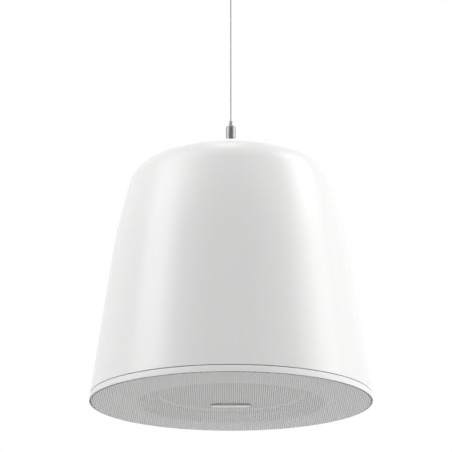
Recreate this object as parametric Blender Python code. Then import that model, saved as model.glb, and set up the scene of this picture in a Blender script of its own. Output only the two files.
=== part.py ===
"""Pendant loudspeaker: a bell-shaped moulded housing hung on a thin steel wire.

The origin is the middle of the ceiling fitting's top face, which lies against the
ceiling. +Z points up, so every other height in the model is negative. The heights
below are counted up from the rim of the grille, and level() turns them into Z.
"""

import math

import bmesh
import bpy
from mathutils import Matrix, Vector

# Gaps between pieces that touch, and between pieces that move past each other
TOUCH_GAP = 0.0003
EDGE_GAP = 0.0006

# How far a cutting tool reaches past its piece, and the bevels on turned plates and tubes
CUT_MARGIN = 0.0010
PLATE_BEVEL = 0.0010
TUBE_BEVEL = 0.0006

# Overall sizes
MOUTH_RADIUS = 0.150
HANG_HEIGHT = 0.488

# Housing wall, seen in section from the mouth up to the crown
WALL_THICKNESS = 0.0035
WALL_LEAN = math.radians(8.08)
STRAIGHT_HEIGHT = 0.1494
LONG_ARC_RADIUS = 0.689
LONG_ARC_TURN = math.radians(7.6)
SHOULDER_RADIUS = 0.0390
CROWN_EDGE_ANGLE = math.radians(17.1)

# Flat sides that stand for each full circle, and steps along the bell's arcs and crown
HOUSING_SIDES = 40
DRIVER_SIDES = 24
FITTING_SIDES = 20
SMALL_SIDES = 12
SCREW_SIDES = 6
OUTER_STEPS = (2, 6, 3)
INNER_STEPS = (1, 4, 4)

# Ledge and screw bosses inside the housing's mouth
LEDGE_DEPTH = 0.006
LEDGE_HEIGHT = 0.004
BOSS_RADIUS = 0.0048
BOSS_HEIGHT = 0.022
BOSS_INSET = 0.0155
BAFFLE_SCREW_COUNT = 6
SCREW_HEAD_HEIGHT = 0.0016

# Bezel ring under the housing, with the shadow line between the two
BEZEL_HEIGHT = 0.0064
SHADOW_LINE = 0.0010
BEZEL_LIP = 0.0008
BEZEL_RECESS = 0.0042
BEZEL_WEB = 0.0024
BEZEL_FLANGE_REACH = 0.0195
BEZEL_FLANGE_BOTTOM = 0.0092

# Grille: perforated sheet steel, crowned, with a folded edge that stands proud of the bezel's lip
GRILLE_SHEET = 0.0008
GRILLE_PROUD = 0.0008
GRILLE_CROWN = 0.0016
GRILLE_EDGE_HEIGHT = 0.0038
GRILLE_HOLE_RADIUS = 0.0086
GRILLE_PITCH = 0.0270
GRILLE_PLAIN_EDGE = 0.0030
GRILLE_MAGNET_COUNT = 4
GRILLE_MAGNET_RADIUS = 0.0045
GRILLE_MAGNET_INSET = 0.0145

# Badge on the grille, with no lettering
BADGE_LENGTH = 0.042
BADGE_WIDTH = 0.010
BADGE_THICKNESS = 0.0018

# Baffle board that carries the driver and the port
BAFFLE_THICKNESS = 0.006
BAFFLE_SEAT = 0.0075
GASKET_THICKNESS = 0.0014
PORT_CLEARANCE = 0.00095
PORT_WALL = 0.0015
PORT_FLARE = 0.0008
PORT_LENGTH = 0.048
PORT_ANGLE = math.radians(61.0)

# Woofer frame
FRAME_MARGIN = 0.047
FRAME_SHEET = 0.0020
FRAME_FLANGE = 0.0025
FRAME_LIP = 0.0110
FRAME_SHOULDER_DEPTH = 0.0125
FRAME_SHELF_RADIUS = 0.0610
FRAME_CUP_RADIUS = 0.0520
FRAME_DEPTH = 0.0528
FRAME_CUP_DEPTH = 0.0100
FRAME_HOLE_RADIUS = 0.0240
FRAME_WINDOWS = 6
FRAME_SPOKE_WIDTH = 0.016
WOOFER_SCREW_COUNT = 4

# Cone, surround, spider and voice coil
SURROUND_INSET = 0.0050
SURROUND_WIDTH = 0.0105
SURROUND_LIP = 0.0040
SURROUND_SHEET = 0.0007
CONE_SHEET = 0.0008
CONE_DEPTH = 0.0350
COIL_RADIUS = 0.0190
COIL_WALL = 0.0004
COIL_WINDING = 0.0006
COIL_LENGTH = 0.0320
COIL_WINDING_LENGTH = 0.0120
SPIDER_SHEET = 0.0007
SPIDER_WAVE = 0.0012
SPIDER_ROLLS = 3
MAGNET_GAP = 0.0007

# Magnet system
TOP_PLATE_RADIUS = 0.0500
TOP_PLATE_THICKNESS = 0.0060
MAGNET_RADIUS = 0.0560
MAGNET_HOLE_RADIUS = 0.0270
MAGNET_THICKNESS = 0.0180
BACK_PLATE_THICKNESS = 0.0070

# Tweeter on a post in the middle of the woofer
TWEETER_RADIUS = 0.0165
TWEETER_HEIGHT = 0.0180
TWEETER_DOME_RADIUS = 0.0110
TWEETER_DOME_HEIGHT = 0.0035
TWEETER_WALL = 0.0022
TWEETER_RING = 0.0010
POST_RADIUS = 0.0060

# Electrical parts on a tray behind the magnet
TRAY_RADIUS = 0.0620
TRAY_FLOOR = 0.0025
TRAY_RIM = 0.0060
BOARD_LENGTH = 0.066
BOARD_WIDTH = 0.040
BOARD_THICKNESS = 0.0016
BOARD_OFFSET = 0.028
COIL_CAN_RADIUS = 0.0125
COIL_CAN_HEIGHT = 0.0160
CAPACITOR_RADIUS = 0.0065
CAPACITOR_LENGTH = 0.0240
RESISTOR_LENGTH = 0.0220
RESISTOR_WIDTH = 0.0090
CORE_LENGTH = 0.0440
CORE_DEPTH = 0.0200
CORE_HEIGHT = 0.0370
CORE_LEG = 0.0140
CORE_WINDOW = 0.0080
BOBBIN_BULGE = 0.0075
TRANSFORMER_OFFSET = -0.028

# Wire and its ball end
WIRE_DIAMETER = 0.0012
WIRE_TAIL = 0.040
WIRE_POINTS = 41
BALL_END_RADIUS = 0.0024

# Ceiling fitting
CEILING_FLANGE_RADIUS = 0.0210
CEILING_FLANGE_THICKNESS = 0.0035
CEILING_SPIGOT_RADIUS = 0.0100
CEILING_SPIGOT_LENGTH = 0.0110
CEILING_HOLE_RADIUS = 0.0021
CEILING_HOLE_CIRCLE = 0.0168
CEILING_HOLE_COUNT = 2
CAP_RADIUS = 0.0125
CAP_HEIGHT = 0.0210
CAP_FLOOR = 0.0095
CAP_CHAMFER = 0.0025
CAP_WIRE_HOLE = 0.0011
CAP_SEAT_DROP = 0.0020
CAP_SEAT_MARGIN = 0.0010

# Wire gripper on the crown
GRIPPER_RADIUS = 0.0055
GRIPPER_BASE_RADIUS = 0.0080
GRIPPER_BASE_HEIGHT = 0.0060
GRIPPER_BARREL_LENGTH = 0.0226
GRIPPER_CHAMFER = 0.0008
GRIPPER_BORE = 0.0042
GRIPPER_SPIGOT_LENGTH = 0.0060
GRIPPER_THREAD_GAP = 0.0003
CAGE_TOP_RADIUS = 0.0021
CAGE_WALL = 0.0010
CAGE_COLLAR_RADIUS = 0.0029
CAGE_COLLAR_HEIGHT = 0.0012
CAGE_COLLAR_DROP = 0.0008
CAGE_WINDOW_START = 0.0007
CAGE_SLACK = 0.0001
NIPPLE_TRAVEL = 0.0020
NIPPLE_GRIP = 0.0043
GRIP_BALL_RADIUS = 0.0010
GRIP_BALL_COUNT = 3
GRIP_BALL_DEPTH = 0.0082
GRIP_CONE_SLOPE = 0.20
SPRING_WIRE = 0.0005
SPRING_TURNS = 3.5
STUD_RADIUS = 0.0040
STUD_BORE = 0.0013
STUD_HOLE_RADIUS = 0.0044
STUD_LENGTH = 0.0160
NUT_ACROSS_FLATS = 0.0130
NUT_HEIGHT = 0.0055
WASHER_RADIUS = 0.0080
WASHER_THICKNESS = 0.0015
LOAD_PLATE_RADIUS = 0.0300
LOAD_PLATE_THICKNESS = 0.0020

# Cable gland behind the gripper, left without a cable
GLAND_DISTANCE = 0.0430
GLAND_THREAD_RADIUS = 0.0060
GLAND_FLANGE_RADIUS = 0.0085
GLAND_FLANGE_HEIGHT = 0.0035
GLAND_NOSE_HEIGHT = 0.0065
GLAND_BORE_RADIUS = 0.0044
GLAND_WALL = 0.0010
GLAND_THREAD_LENGTH = 0.0115
GLAND_NUT_HEIGHT = 0.0045
GLAND_CLEARANCE = 0.0003
GLAND_SEAT_DROP = 0.0004
TERMINAL_LENGTH = 0.024
TERMINAL_WIDTH = 0.012
TERMINAL_HEIGHT = 0.010

# Sound-deadening lining on the inside of the wall
LINING_BOTTOM = 0.120
LINING_TOP = 0.200
LINING_THICKNESS = 0.008

LEAD_DIAMETER = 0.0030
LEAD_STRAIGHT = 0.0070
LEAD_BULGE = 0.0120

# Levels and radii worked out from the sizes above
GRILLE_RADIUS = MOUTH_RADIUS - BEZEL_LIP - EDGE_GAP
GRILLE_BACK = GRILLE_SHEET - GRILLE_PROUD
BOSS_CIRCLE = MOUTH_RADIUS - BOSS_INSET
BEZEL_FLANGE_INNER = MOUTH_RADIUS - BEZEL_FLANGE_REACH
GRILLE_MAGNET_CIRCLE = MOUTH_RADIUS - GRILLE_MAGNET_INSET
FRAME_RADIUS = MOUTH_RADIUS - FRAME_MARGIN
FRAME_NECK_RADIUS = FRAME_RADIUS - FRAME_LIP
BAFFLE_OPENING_RADIUS = FRAME_RADIUS - BAFFLE_SEAT
SURROUND_OUTER = FRAME_NECK_RADIUS - SURROUND_INSET
SURROUND_INNER = SURROUND_OUTER - SURROUND_WIDTH
PORT_CIRCLE = (FRAME_RADIUS + BEZEL_FLANGE_INNER) / 2
PORT_RADIUS = (BEZEL_FLANGE_INNER - FRAME_RADIUS) / 2 - PORT_WALL - PORT_FLARE - PORT_CLEARANCE
NIPPLE_REACH = NIPPLE_TRAVEL + NIPPLE_GRIP
HOUSING_BOTTOM = BEZEL_HEIGHT + SHADOW_LINE
BEZEL_FLANGE_TOP = BEZEL_FLANGE_BOTTOM + FRAME_FLANGE + TOUCH_GAP + GASKET_THICKNESS / 2
BAFFLE_BOTTOM = BEZEL_FLANGE_TOP + TOUCH_GAP
BAFFLE_TOP = BAFFLE_BOTTOM + BAFFLE_THICKNESS
LEDGE_BOTTOM = BAFFLE_TOP + GASKET_THICKNESS + 2 * TOUCH_GAP
FLANGE_BOTTOM = BEZEL_FLANGE_BOTTOM
FLANGE_TOP = FLANGE_BOTTOM + FRAME_FLANGE
SHELF_LEVEL = FLANGE_BOTTOM + FRAME_DEPTH - FRAME_CUP_DEPTH
CUP_TOP = FLANGE_BOTTOM + FRAME_DEPTH
TOP_PLATE_BOTTOM = CUP_TOP + TOUCH_GAP
MAGNET_BOTTOM = TOP_PLATE_BOTTOM + TOP_PLATE_THICKNESS + TOUCH_GAP
BACK_PLATE_BOTTOM = MAGNET_BOTTOM + MAGNET_THICKNESS + TOUCH_GAP
BACK_PLATE_TOP = BACK_PLATE_BOTTOM + BACK_PLATE_THICKNESS
SURROUND_LEVEL = FLANGE_BOTTOM - TOUCH_GAP
CONE_EDGE_LEVEL = SURROUND_LEVEL + TOUCH_GAP
CONE_NECK_LEVEL = CONE_EDGE_LEVEL + CONE_DEPTH
COIL_BOTTOM = CONE_NECK_LEVEL - 0.004
TRAY_BOTTOM = BACK_PLATE_TOP + TOUCH_GAP
TRAY_TOP = TRAY_BOTTOM + TRAY_FLOOR


def level(height):
    """Z of a height that is counted up from the rim of the grille."""
    return height - HANG_HEIGHT


def clear_scene():
    for obj in list(bpy.data.objects):
        bpy.data.objects.remove(obj, do_unlink=True)


def finish_material(name, colour, roughness, metallic=0.0):
    material = bpy.data.materials.get(name)
    if material is None:
        material = bpy.data.materials.new(name)
        material.use_nodes = True
        shader = material.node_tree.nodes["Principled BSDF"]
        shader.inputs["Base Color"].default_value = (*colour, 1.0)
        shader.inputs["Roughness"].default_value = roughness
        shader.inputs["Metallic"].default_value = metallic
        material.diffuse_color = (*colour, 1.0)
    return material


def white_plastic():
    return finish_material("white_plastic", (0.80, 0.80, 0.79), 0.38)


def white_enamel():
    return finish_material("white_enamel", (0.76, 0.76, 0.75), 0.45)


def black_plastic():
    return finish_material("black_plastic", (0.03, 0.03, 0.03), 0.5)


def nickel():
    return finish_material("nickel", (0.62, 0.61, 0.59), 0.25, 1.0)


def zinc_steel():
    return finish_material("zinc_steel", (0.55, 0.55, 0.54), 0.4, 1.0)


def dark_rubber():
    return finish_material("dark_rubber", (0.02, 0.02, 0.02), 0.8)


def grey_rubber():
    return finish_material("grey_rubber", (0.14, 0.14, 0.14), 0.5)


def paper_cone():
    return finish_material("coated_paper", (0.40, 0.40, 0.395), 0.6)


def ferrite():
    return finish_material("ferrite", (0.05, 0.05, 0.055), 0.6)


def felt():
    return finish_material("grey_felt", (0.25, 0.25, 0.25), 0.95)


def copper():
    return finish_material("copper_wire", (0.72, 0.35, 0.18), 0.35, 1.0)


def board_green():
    return finish_material("board_green", (0.04, 0.16, 0.07), 0.5)


def add_mesh_object(name, bm, material, parent=None):
    """Turn a bmesh into a named object with smooth round faces and sharp corners."""
    bmesh.ops.remove_doubles(bm, verts=bm.verts, dist=1e-7)
    bmesh.ops.recalc_face_normals(bm, faces=bm.faces)
    mesh = bpy.data.meshes.new(name)
    bm.to_mesh(mesh)
    bm.free()
    mesh.shade_smooth()
    mesh.set_sharp_from_angle(angle=math.radians(35))
    mesh.materials.append(material)
    obj = bpy.data.objects.new(name, mesh)
    bpy.context.collection.objects.link(obj)
    obj.parent = parent
    return obj


def add_empty(name, location, rotation=(0.0, 0.0, 0.0), parent=None):
    empty = bpy.data.objects.new(name, None)
    empty.empty_display_size = 0.01
    empty.location = location
    empty.rotation_euler = rotation
    empty.parent = parent
    bpy.context.collection.objects.link(empty)
    return empty


def turned_bmesh(profile, sides, closed=True, centre=(0.0, 0.0)):
    """Turn a list of (radius, z) points about a vertical axis.

    A closed profile makes a ring. An open one starts and ends on the axis.
    """
    bm = bmesh.new()
    rings = []
    for radius, z in profile:
        if radius < 1e-9:
            rings.append([bm.verts.new((centre[0], centre[1], z))])
            continue
        ring = []
        for step in range(sides):
            angle = 2 * math.pi * step / sides
            x = centre[0] + radius * math.cos(angle)
            y = centre[1] + radius * math.sin(angle)
            ring.append(bm.verts.new((x, y, z)))
        rings.append(ring)
    pairs = list(zip(rings, rings[1:]))
    if closed:
        pairs.append((rings[-1], rings[0]))
    for lower, upper in pairs:
        if min(len(lower), len(upper)) == 1 and abs(lower[0].co.z - upper[0].co.z) < 1e-9:
            bm.faces.new(lower if len(lower) > 1 else upper)
            bm.verts.remove(lower[0] if len(lower) == 1 else upper[0])
            continue
        for step in range(sides):
            after = (step + 1) % sides
            if len(lower) == 1:
                bm.faces.new((lower[0], upper[step], upper[after]))
            elif len(upper) == 1:
                bm.faces.new((lower[step], lower[after], upper[0]))
            else:
                bm.faces.new((lower[step], lower[after], upper[after], upper[step]))
    return bm


def turned(name, profile, sides, material, closed=True, centre=(0.0, 0.0), parent=None):
    bm = turned_bmesh(profile, sides, closed, centre)
    return add_mesh_object(name, bm, material, parent)


def extruded_bmesh(outline, bottom, top):
    """Extrude a flat outline of (x, y) points from one Z to another."""
    bm = bmesh.new()
    face = bm.faces.new([bm.verts.new((x, y, bottom)) for x, y in outline])
    result = bmesh.ops.extrude_face_region(bm, geom=[face])
    moved = [item for item in result["geom"] if isinstance(item, bmesh.types.BMVert)]
    bmesh.ops.translate(bm, vec=(0.0, 0.0, top - bottom), verts=moved)
    return bm


def extruded(name, outline, bottom, top, material, parent=None):
    return add_mesh_object(name, extruded_bmesh(outline, bottom, top), material, parent)


def block_outline(length, width, centre=(0.0, 0.0)):
    half_x, half_y = length / 2, width / 2
    corners = ((-half_x, -half_y), (half_x, -half_y), (half_x, half_y), (-half_x, half_y))
    return [(centre[0] + x, centre[1] + y) for x, y in corners]


def circle_outline(radius, sides, centre=(0.0, 0.0), start=0.0):
    outline = []
    for step in range(sides):
        angle = start + 2 * math.pi * step / sides
        outline.append((centre[0] + radius * math.cos(angle), centre[1] + radius * math.sin(angle)))
    return outline


def ring_place(radius, index, count, start=0.0):
    angle = start + 2 * math.pi * index / count
    return radius * math.cos(angle), radius * math.sin(angle)


def merge_bmesh(target, extra):
    """Copy the faces of one bmesh into another, as one cutter of many bodies."""
    copies = {vert: target.verts.new(vert.co) for vert in extra.verts}
    for face in extra.faces:
        target.faces.new([copies[vert] for vert in face.verts])
    extra.free()


def hidden_tool(name, bm, parent=None):
    tool = add_mesh_object(name, bm, finish_material("tool", (1.0, 0.3, 0.1), 0.5), parent)
    tool.display_type = "WIRE"
    tool.hide_render = True
    return tool


def boolean(obj, tool, operation):
    modifier = obj.modifiers.new(tool.name, "BOOLEAN")
    modifier.operation = operation
    modifier.solver = "EXACT"
    modifier.object = tool


def bell_arcs():
    """The bell's two arcs as (centre radius, centre height, arc radius, start, turn).

    The angle of a wall is counted from upright, so the crown's middle is at 90 degrees.
    The crown's own radius and the height of its centre follow from where the arcs end.
    """
    arcs = []
    radius = MOUTH_RADIUS - STRAIGHT_HEIGHT * math.tan(WALL_LEAN)
    height = STRAIGHT_HEIGHT
    angle = WALL_LEAN
    shoulder_turn = math.pi / 2 - WALL_LEAN - LONG_ARC_TURN - CROWN_EDGE_ANGLE
    for arc_radius, turn in ((LONG_ARC_RADIUS, LONG_ARC_TURN), (SHOULDER_RADIUS, shoulder_turn)):
        centre_radius = radius - arc_radius * math.cos(angle)
        centre_height = height - arc_radius * math.sin(angle)
        arcs.append((centre_radius, centre_height, arc_radius, angle, turn))
        angle += turn
        radius = centre_radius + arc_radius * math.cos(angle)
        height = centre_height + arc_radius * math.sin(angle)
    crown_radius = radius / math.sin(CROWN_EDGE_ANGLE)
    crown_centre = height - crown_radius * math.cos(CROWN_EDGE_ANGLE)
    return arcs, crown_radius, crown_centre


def bell_path(offset=0.0, start=0.0, end_radius=0.0, steps=OUTER_STEPS):
    """Section of the bell from height start to the crown, offset inwards from its skin.

    It is a straight leaning wall, a long arc, a tight shoulder arc and a shallow crown.
    """
    arcs, crown_radius, crown_centre = bell_arcs()
    points = [(wall_radius(start, offset), start)]
    for (centre_radius, centre_height, arc_radius, first, turn), count in zip(arcs, steps):
        for step in range(count + 1):
            if step == 0 and len(points) > 1:
                continue
            angle = first + turn * step / count
            reach = arc_radius - offset
            points.append((centre_radius + reach * math.cos(angle), centre_height + reach * math.sin(angle)))
    reach = crown_radius - offset
    end_angle = math.asin(end_radius / reach)
    count = steps[-1]
    for step in range(1, count + 1):
        slope = CROWN_EDGE_ANGLE + (end_angle - CROWN_EDGE_ANGLE) * step / count
        points.append((reach * math.sin(slope), crown_centre + reach * math.cos(slope)))
    return points


def wall_radius(height, offset=0.0):
    """Radius of the straight part of the bell's wall at a height, offset inwards."""
    return MOUTH_RADIUS - height * math.tan(WALL_LEAN) - offset / math.cos(WALL_LEAN)


def crown_height(radius, offset=0.0):
    """Height of the bell's crown at a radius, offset inwards from its skin."""
    arcs, crown_radius, crown_centre = bell_arcs()
    return crown_centre + math.sqrt((crown_radius - offset) ** 2 - radius ** 2)


def crown_slope(radius):
    """Angle between the crown's skin and the level at a radius."""
    return math.asin(radius / bell_arcs()[1])


def raise_profile(profile):
    return [(radius, level(height)) for radius, height in profile]


def make_housing(parent):
    """Moulded bell with an inner ledge, screw bosses and two holes in its crown."""
    outer = bell_path(0.0, HOUSING_BOTTOM, STUD_HOLE_RADIUS)
    inner = bell_path(WALL_THICKNESS, LEDGE_BOTTOM + LEDGE_HEIGHT, STUD_HOLE_RADIUS, INNER_STEPS)
    ledge_edge = wall_radius(LEDGE_BOTTOM, WALL_THICKNESS) - LEDGE_DEPTH
    ledge = [
        (ledge_edge, LEDGE_BOTTOM + LEDGE_HEIGHT),
        (ledge_edge, LEDGE_BOTTOM),
        (wall_radius(LEDGE_BOTTOM, WALL_THICKNESS), LEDGE_BOTTOM),
        (wall_radius(HOUSING_BOTTOM, WALL_THICKNESS), HOUSING_BOTTOM),
    ]
    profile = raise_profile(outer + inner[::-1] + ledge)
    shell = turned("housing_shell", profile, HOUSING_SIDES, white_plastic(), parent=parent)

    bosses = bmesh.new()
    holes = bmesh.new()
    hole_radius = BOSS_RADIUS / 3
    for index in range(BAFFLE_SCREW_COUNT):
        centre = ring_place(BOSS_CIRCLE, index, BAFFLE_SCREW_COUNT, math.pi / BAFFLE_SCREW_COUNT)
        bottom = level(BAFFLE_TOP + TOUCH_GAP)
        top = level(LEDGE_BOTTOM + BOSS_HEIGHT)
        merge_bmesh(bosses, extruded_bmesh(circle_outline(BOSS_RADIUS, SCREW_SIDES, centre), bottom, top))
        deep = top - BOSS_RADIUS
        outline = circle_outline(hole_radius, SCREW_SIDES, centre)
        merge_bmesh(holes, extruded_bmesh(outline, bottom - CUT_MARGIN, deep))
    boolean(shell, hidden_tool("boss_tool", bosses, parent), "UNION")
    boolean(shell, hidden_tool("boss_hole_tool", holes, parent), "DIFFERENCE")

    cable_hole = extruded_bmesh(
        circle_outline(GLAND_THREAD_RADIUS + GLAND_CLEARANCE, SMALL_SIDES), -0.02, 0.02
    )
    seat = crown_height(GLAND_DISTANCE)
    bmesh.ops.rotate(cable_hole, verts=cable_hole.verts,
                     matrix=Matrix.Rotation(-crown_slope(GLAND_DISTANCE), 3, "X"))
    bmesh.ops.translate(cable_hole, verts=cable_hole.verts, vec=(0.0, GLAND_DISTANCE, level(seat)))
    boolean(shell, hidden_tool("cable_hole_tool", cable_hole, parent), "DIFFERENCE")
    return shell


def make_bezel(parent):
    """Ring that closes the mouth, holds the baffle's edge and frames the grille."""
    spigot = wall_radius(BAFFLE_TOP, WALL_THICKNESS) - EDGE_GAP
    inner = spigot - BEZEL_WEB
    profile = raise_profile([
        (MOUTH_RADIUS, 0.0),
        (wall_radius(BEZEL_HEIGHT), BEZEL_HEIGHT),
        (spigot, BEZEL_HEIGHT),
        (spigot, BEZEL_FLANGE_TOP),
        (BEZEL_FLANGE_INNER, BEZEL_FLANGE_TOP),
        (BEZEL_FLANGE_INNER, BEZEL_FLANGE_BOTTOM),
        (inner, BEZEL_FLANGE_BOTTOM),
        (inner, BEZEL_RECESS),
        (MOUTH_RADIUS - BEZEL_LIP, BEZEL_RECESS),
        (MOUTH_RADIUS - BEZEL_LIP, 0.0),
    ])
    ring = turned("bezel_ring", profile, HOUSING_SIDES, white_plastic(), parent=parent)
    holes = bmesh.new()
    for index in range(BAFFLE_SCREW_COUNT):
        centre = ring_place(BOSS_CIRCLE, index, BAFFLE_SCREW_COUNT, math.pi / BAFFLE_SCREW_COUNT)
        outline = circle_outline(BOSS_RADIUS / 2, SCREW_SIDES, centre)
        hole = extruded_bmesh(outline, level(BEZEL_FLANGE_BOTTOM - CUT_MARGIN),
                              level(BEZEL_FLANGE_TOP + CUT_MARGIN))
        merge_bmesh(holes, hole)
    boolean(ring, hidden_tool("bezel_hole_tool", holes, parent), "DIFFERENCE")
    return ring


def grille_sag(radius):
    """How far the crowned grille hangs below its rim at a radius."""
    return GRILLE_CROWN * (1 - (radius / GRILLE_RADIUS) ** 2)


def grille_hole_centres():
    limit = GRILLE_RADIUS - GRILLE_PLAIN_EDGE - GRILLE_HOLE_RADIUS
    row_step = GRILLE_PITCH * math.sqrt(3) / 2
    rows = int(limit / row_step)
    centres = []
    for row in range(-rows, rows + 1):
        shift = GRILLE_PITCH / 2 if row % 2 else 0.0
        columns = int(limit / GRILLE_PITCH) + 1
        for column in range(-columns, columns + 1):
            x = column * GRILLE_PITCH + shift
            y = row * row_step
            if math.hypot(x, y) <= limit:
                centres.append((x, y))
    return centres


def make_grille(parent):
    """Crowned perforated sheet with its edge folded up into the bezel's recess.

    The real sheet has about twelve thousand holes. The pattern here has the same
    staggered rows and about the same open share, with a coarser pitch.
    """
    edge_inner = GRILLE_RADIUS - GRILLE_SHEET
    profile = raise_profile([
        (0.0, -GRILLE_PROUD),
        (GRILLE_RADIUS, -GRILLE_PROUD),
        (GRILLE_RADIUS, GRILLE_EDGE_HEIGHT),
        (edge_inner, GRILLE_EDGE_HEIGHT),
        (edge_inner, GRILLE_BACK),
        (0.0, GRILLE_BACK),
    ])
    bm = turned_bmesh(profile, HOUSING_SIDES, closed=False)
    sheet = add_mesh_object("grille_sheet_blank", bm, white_enamel(), parent)
    holes = bmesh.new()
    for centre in grille_hole_centres():
        outline = circle_outline(GRILLE_HOLE_RADIUS, 6, centre)
        punch = extruded_bmesh(outline, level(-GRILLE_PROUD - CUT_MARGIN), level(GRILLE_BACK + CUT_MARGIN))
        merge_bmesh(holes, punch)
    tool = hidden_tool("grille_hole_tool", holes, parent)
    boolean(sheet, tool, "DIFFERENCE")

    depsgraph = bpy.context.evaluated_depsgraph_get()
    punched = bpy.data.meshes.new_from_object(sheet.evaluated_get(depsgraph))
    bm = bmesh.new()
    bm.from_mesh(punched)
    bmesh.ops.triangulate(bm, faces=bm.faces)
    for vert in bm.verts:
        vert.co.z -= grille_sag(math.hypot(vert.co.x, vert.co.y))
    bpy.data.objects.remove(sheet, do_unlink=True)
    bpy.data.objects.remove(tool, do_unlink=True)
    return add_mesh_object("grille", bm, white_enamel(), parent)


def make_badge(parent):
    """Oblong plate with round ends under the middle of the grille."""
    half = BADGE_LENGTH / 2 - BADGE_WIDTH / 2
    steps = 8
    outline = []
    for side in (1, -1):
        for step in range(steps + 1):
            angle = side * math.pi / 2 - math.pi * step / steps
            x = side * half + math.cos(angle) * BADGE_WIDTH / 2
            y = math.sin(angle) * BADGE_WIDTH / 2
            outline.append((x, y))
    top = level(-GRILLE_PROUD - GRILLE_CROWN - TOUCH_GAP)
    return extruded("badge_plate", outline, top - BADGE_THICKNESS, top, nickel(), parent)


def make_grille_magnets(parent):
    """Magnets under the bezel's flange, which hold the grille by its back."""
    top = level(BEZEL_FLANGE_BOTTOM - TOUCH_GAP)
    bottom = level(GRILLE_BACK + TOUCH_GAP)
    for index in range(GRILLE_MAGNET_COUNT):
        x, y = ring_place(GRILLE_MAGNET_CIRCLE, index, GRILLE_MAGNET_COUNT, math.pi / GRILLE_MAGNET_COUNT)
        outline = circle_outline(GRILLE_MAGNET_RADIUS, SMALL_SIDES, (x, y))
        extruded(f"grille_magnet_{index + 1}", outline, bottom, top, nickel(), parent)


def port_centre():
    return PORT_CIRCLE * math.cos(PORT_ANGLE), PORT_CIRCLE * math.sin(PORT_ANGLE)


def make_baffle(parent):
    """Board across the mouth, with the driver opening, the port hole and screw holes."""
    outer = wall_radius(BAFFLE_TOP, WALL_THICKNESS) - EDGE_GAP
    profile = raise_profile([
        (outer, BAFFLE_BOTTOM),
        (outer, BAFFLE_TOP),
        (BAFFLE_OPENING_RADIUS, BAFFLE_TOP),
        (BAFFLE_OPENING_RADIUS, BAFFLE_BOTTOM),
    ])
    board = turned("baffle", profile, HOUSING_SIDES, white_plastic(), parent=parent)
    bottom = level(BAFFLE_BOTTOM - CUT_MARGIN)
    top = level(BAFFLE_TOP + CUT_MARGIN)
    holes = bmesh.new()
    port_hole = PORT_RADIUS + PORT_WALL + TOUCH_GAP
    merge_bmesh(holes, extruded_bmesh(circle_outline(port_hole, FITTING_SIDES, port_centre()), bottom, top))
    for index in range(BAFFLE_SCREW_COUNT):
        centre = ring_place(BOSS_CIRCLE, index, BAFFLE_SCREW_COUNT, math.pi / BAFFLE_SCREW_COUNT)
        merge_bmesh(holes, extruded_bmesh(circle_outline(BOSS_RADIUS / 2, SCREW_SIDES, centre), bottom, top))
    for index in range(WOOFER_SCREW_COUNT):
        centre = woofer_screw_place(index)
        merge_bmesh(holes, extruded_bmesh(circle_outline(BOSS_RADIUS / 2, SCREW_SIDES, centre), bottom, top))
    boolean(board, hidden_tool("baffle_hole_tool", holes, parent), "DIFFERENCE")
    return board


def make_baffle_gasket(parent):
    """Foam ring between the baffle's back and the housing's ledge."""
    outer = wall_radius(LEDGE_BOTTOM, WALL_THICKNESS) - EDGE_GAP
    inner = BOSS_CIRCLE + BOSS_RADIUS + EDGE_GAP
    bottom = BAFFLE_TOP + TOUCH_GAP
    top = bottom + GASKET_THICKNESS
    profile = raise_profile([(outer, bottom), (outer, top), (inner, top), (inner, bottom)])
    return turned("baffle_gasket", profile, HOUSING_SIDES, dark_rubber(), parent=parent)


def make_port(parent):
    """Tuned tube that stands on the baffle, with a flared edge at its mouth."""
    outer = PORT_RADIUS + PORT_WALL
    bottom = BAFFLE_BOTTOM - TOUCH_GAP - PORT_WALL
    top = BAFFLE_TOP + PORT_LENGTH
    profile = raise_profile([
        (PORT_RADIUS + PORT_WALL / 2, bottom),
        (outer + PORT_FLARE, bottom + PORT_WALL / 2),
        (outer + PORT_FLARE, bottom + PORT_WALL),
        (outer, bottom + PORT_WALL),
        (outer, top),
        (PORT_RADIUS, top),
        (PORT_RADIUS, bottom + PORT_WALL),
    ])
    return turned("port_tube", profile, FITTING_SIDES, white_plastic(), centre=port_centre(), parent=parent)


def woofer_screw_place(index):
    circle = (FRAME_RADIUS + BAFFLE_OPENING_RADIUS) / 2
    return ring_place(circle, index, WOOFER_SCREW_COUNT, math.pi / WOOFER_SCREW_COUNT)


def make_screw(name, place, head_top, shank_length, parent):
    """Pan-head screw driven upwards, with a cross recess in its head."""
    head_radius = BOSS_RADIUS * 0.75
    shank = BOSS_RADIUS * 0.28
    profile = [
        (0.0, head_top - SCREW_HEAD_HEIGHT),
        (head_radius * 0.7, head_top - SCREW_HEAD_HEIGHT),
        (head_radius, head_top - SCREW_HEAD_HEIGHT * 0.4),
        (head_radius, head_top),
        (shank, head_top),
        (shank, head_top + shank_length - shank),
        (0.0, head_top + shank_length),
    ]
    return turned(name, profile, SCREW_SIDES, zinc_steel(), closed=False, centre=place, parent=parent)


def make_baffle_screws(parent):
    head_top = level(BEZEL_FLANGE_BOTTOM - TOUCH_GAP)
    length = BAFFLE_TOP - BEZEL_FLANGE_BOTTOM + BOSS_HEIGHT / 2
    for index in range(BAFFLE_SCREW_COUNT):
        place = ring_place(BOSS_CIRCLE, index, BAFFLE_SCREW_COUNT, math.pi / BAFFLE_SCREW_COUNT)
        make_screw(f"baffle_screw_{index + 1}", place, head_top, length, parent)


def make_woofer_screws(parent):
    head_top = level(FLANGE_BOTTOM - TOUCH_GAP)
    length = BAFFLE_TOP - FLANGE_BOTTOM
    for index in range(WOOFER_SCREW_COUNT):
        make_screw(f"woofer_screw_{index + 1}", woofer_screw_place(index), head_top, length, parent)


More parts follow.
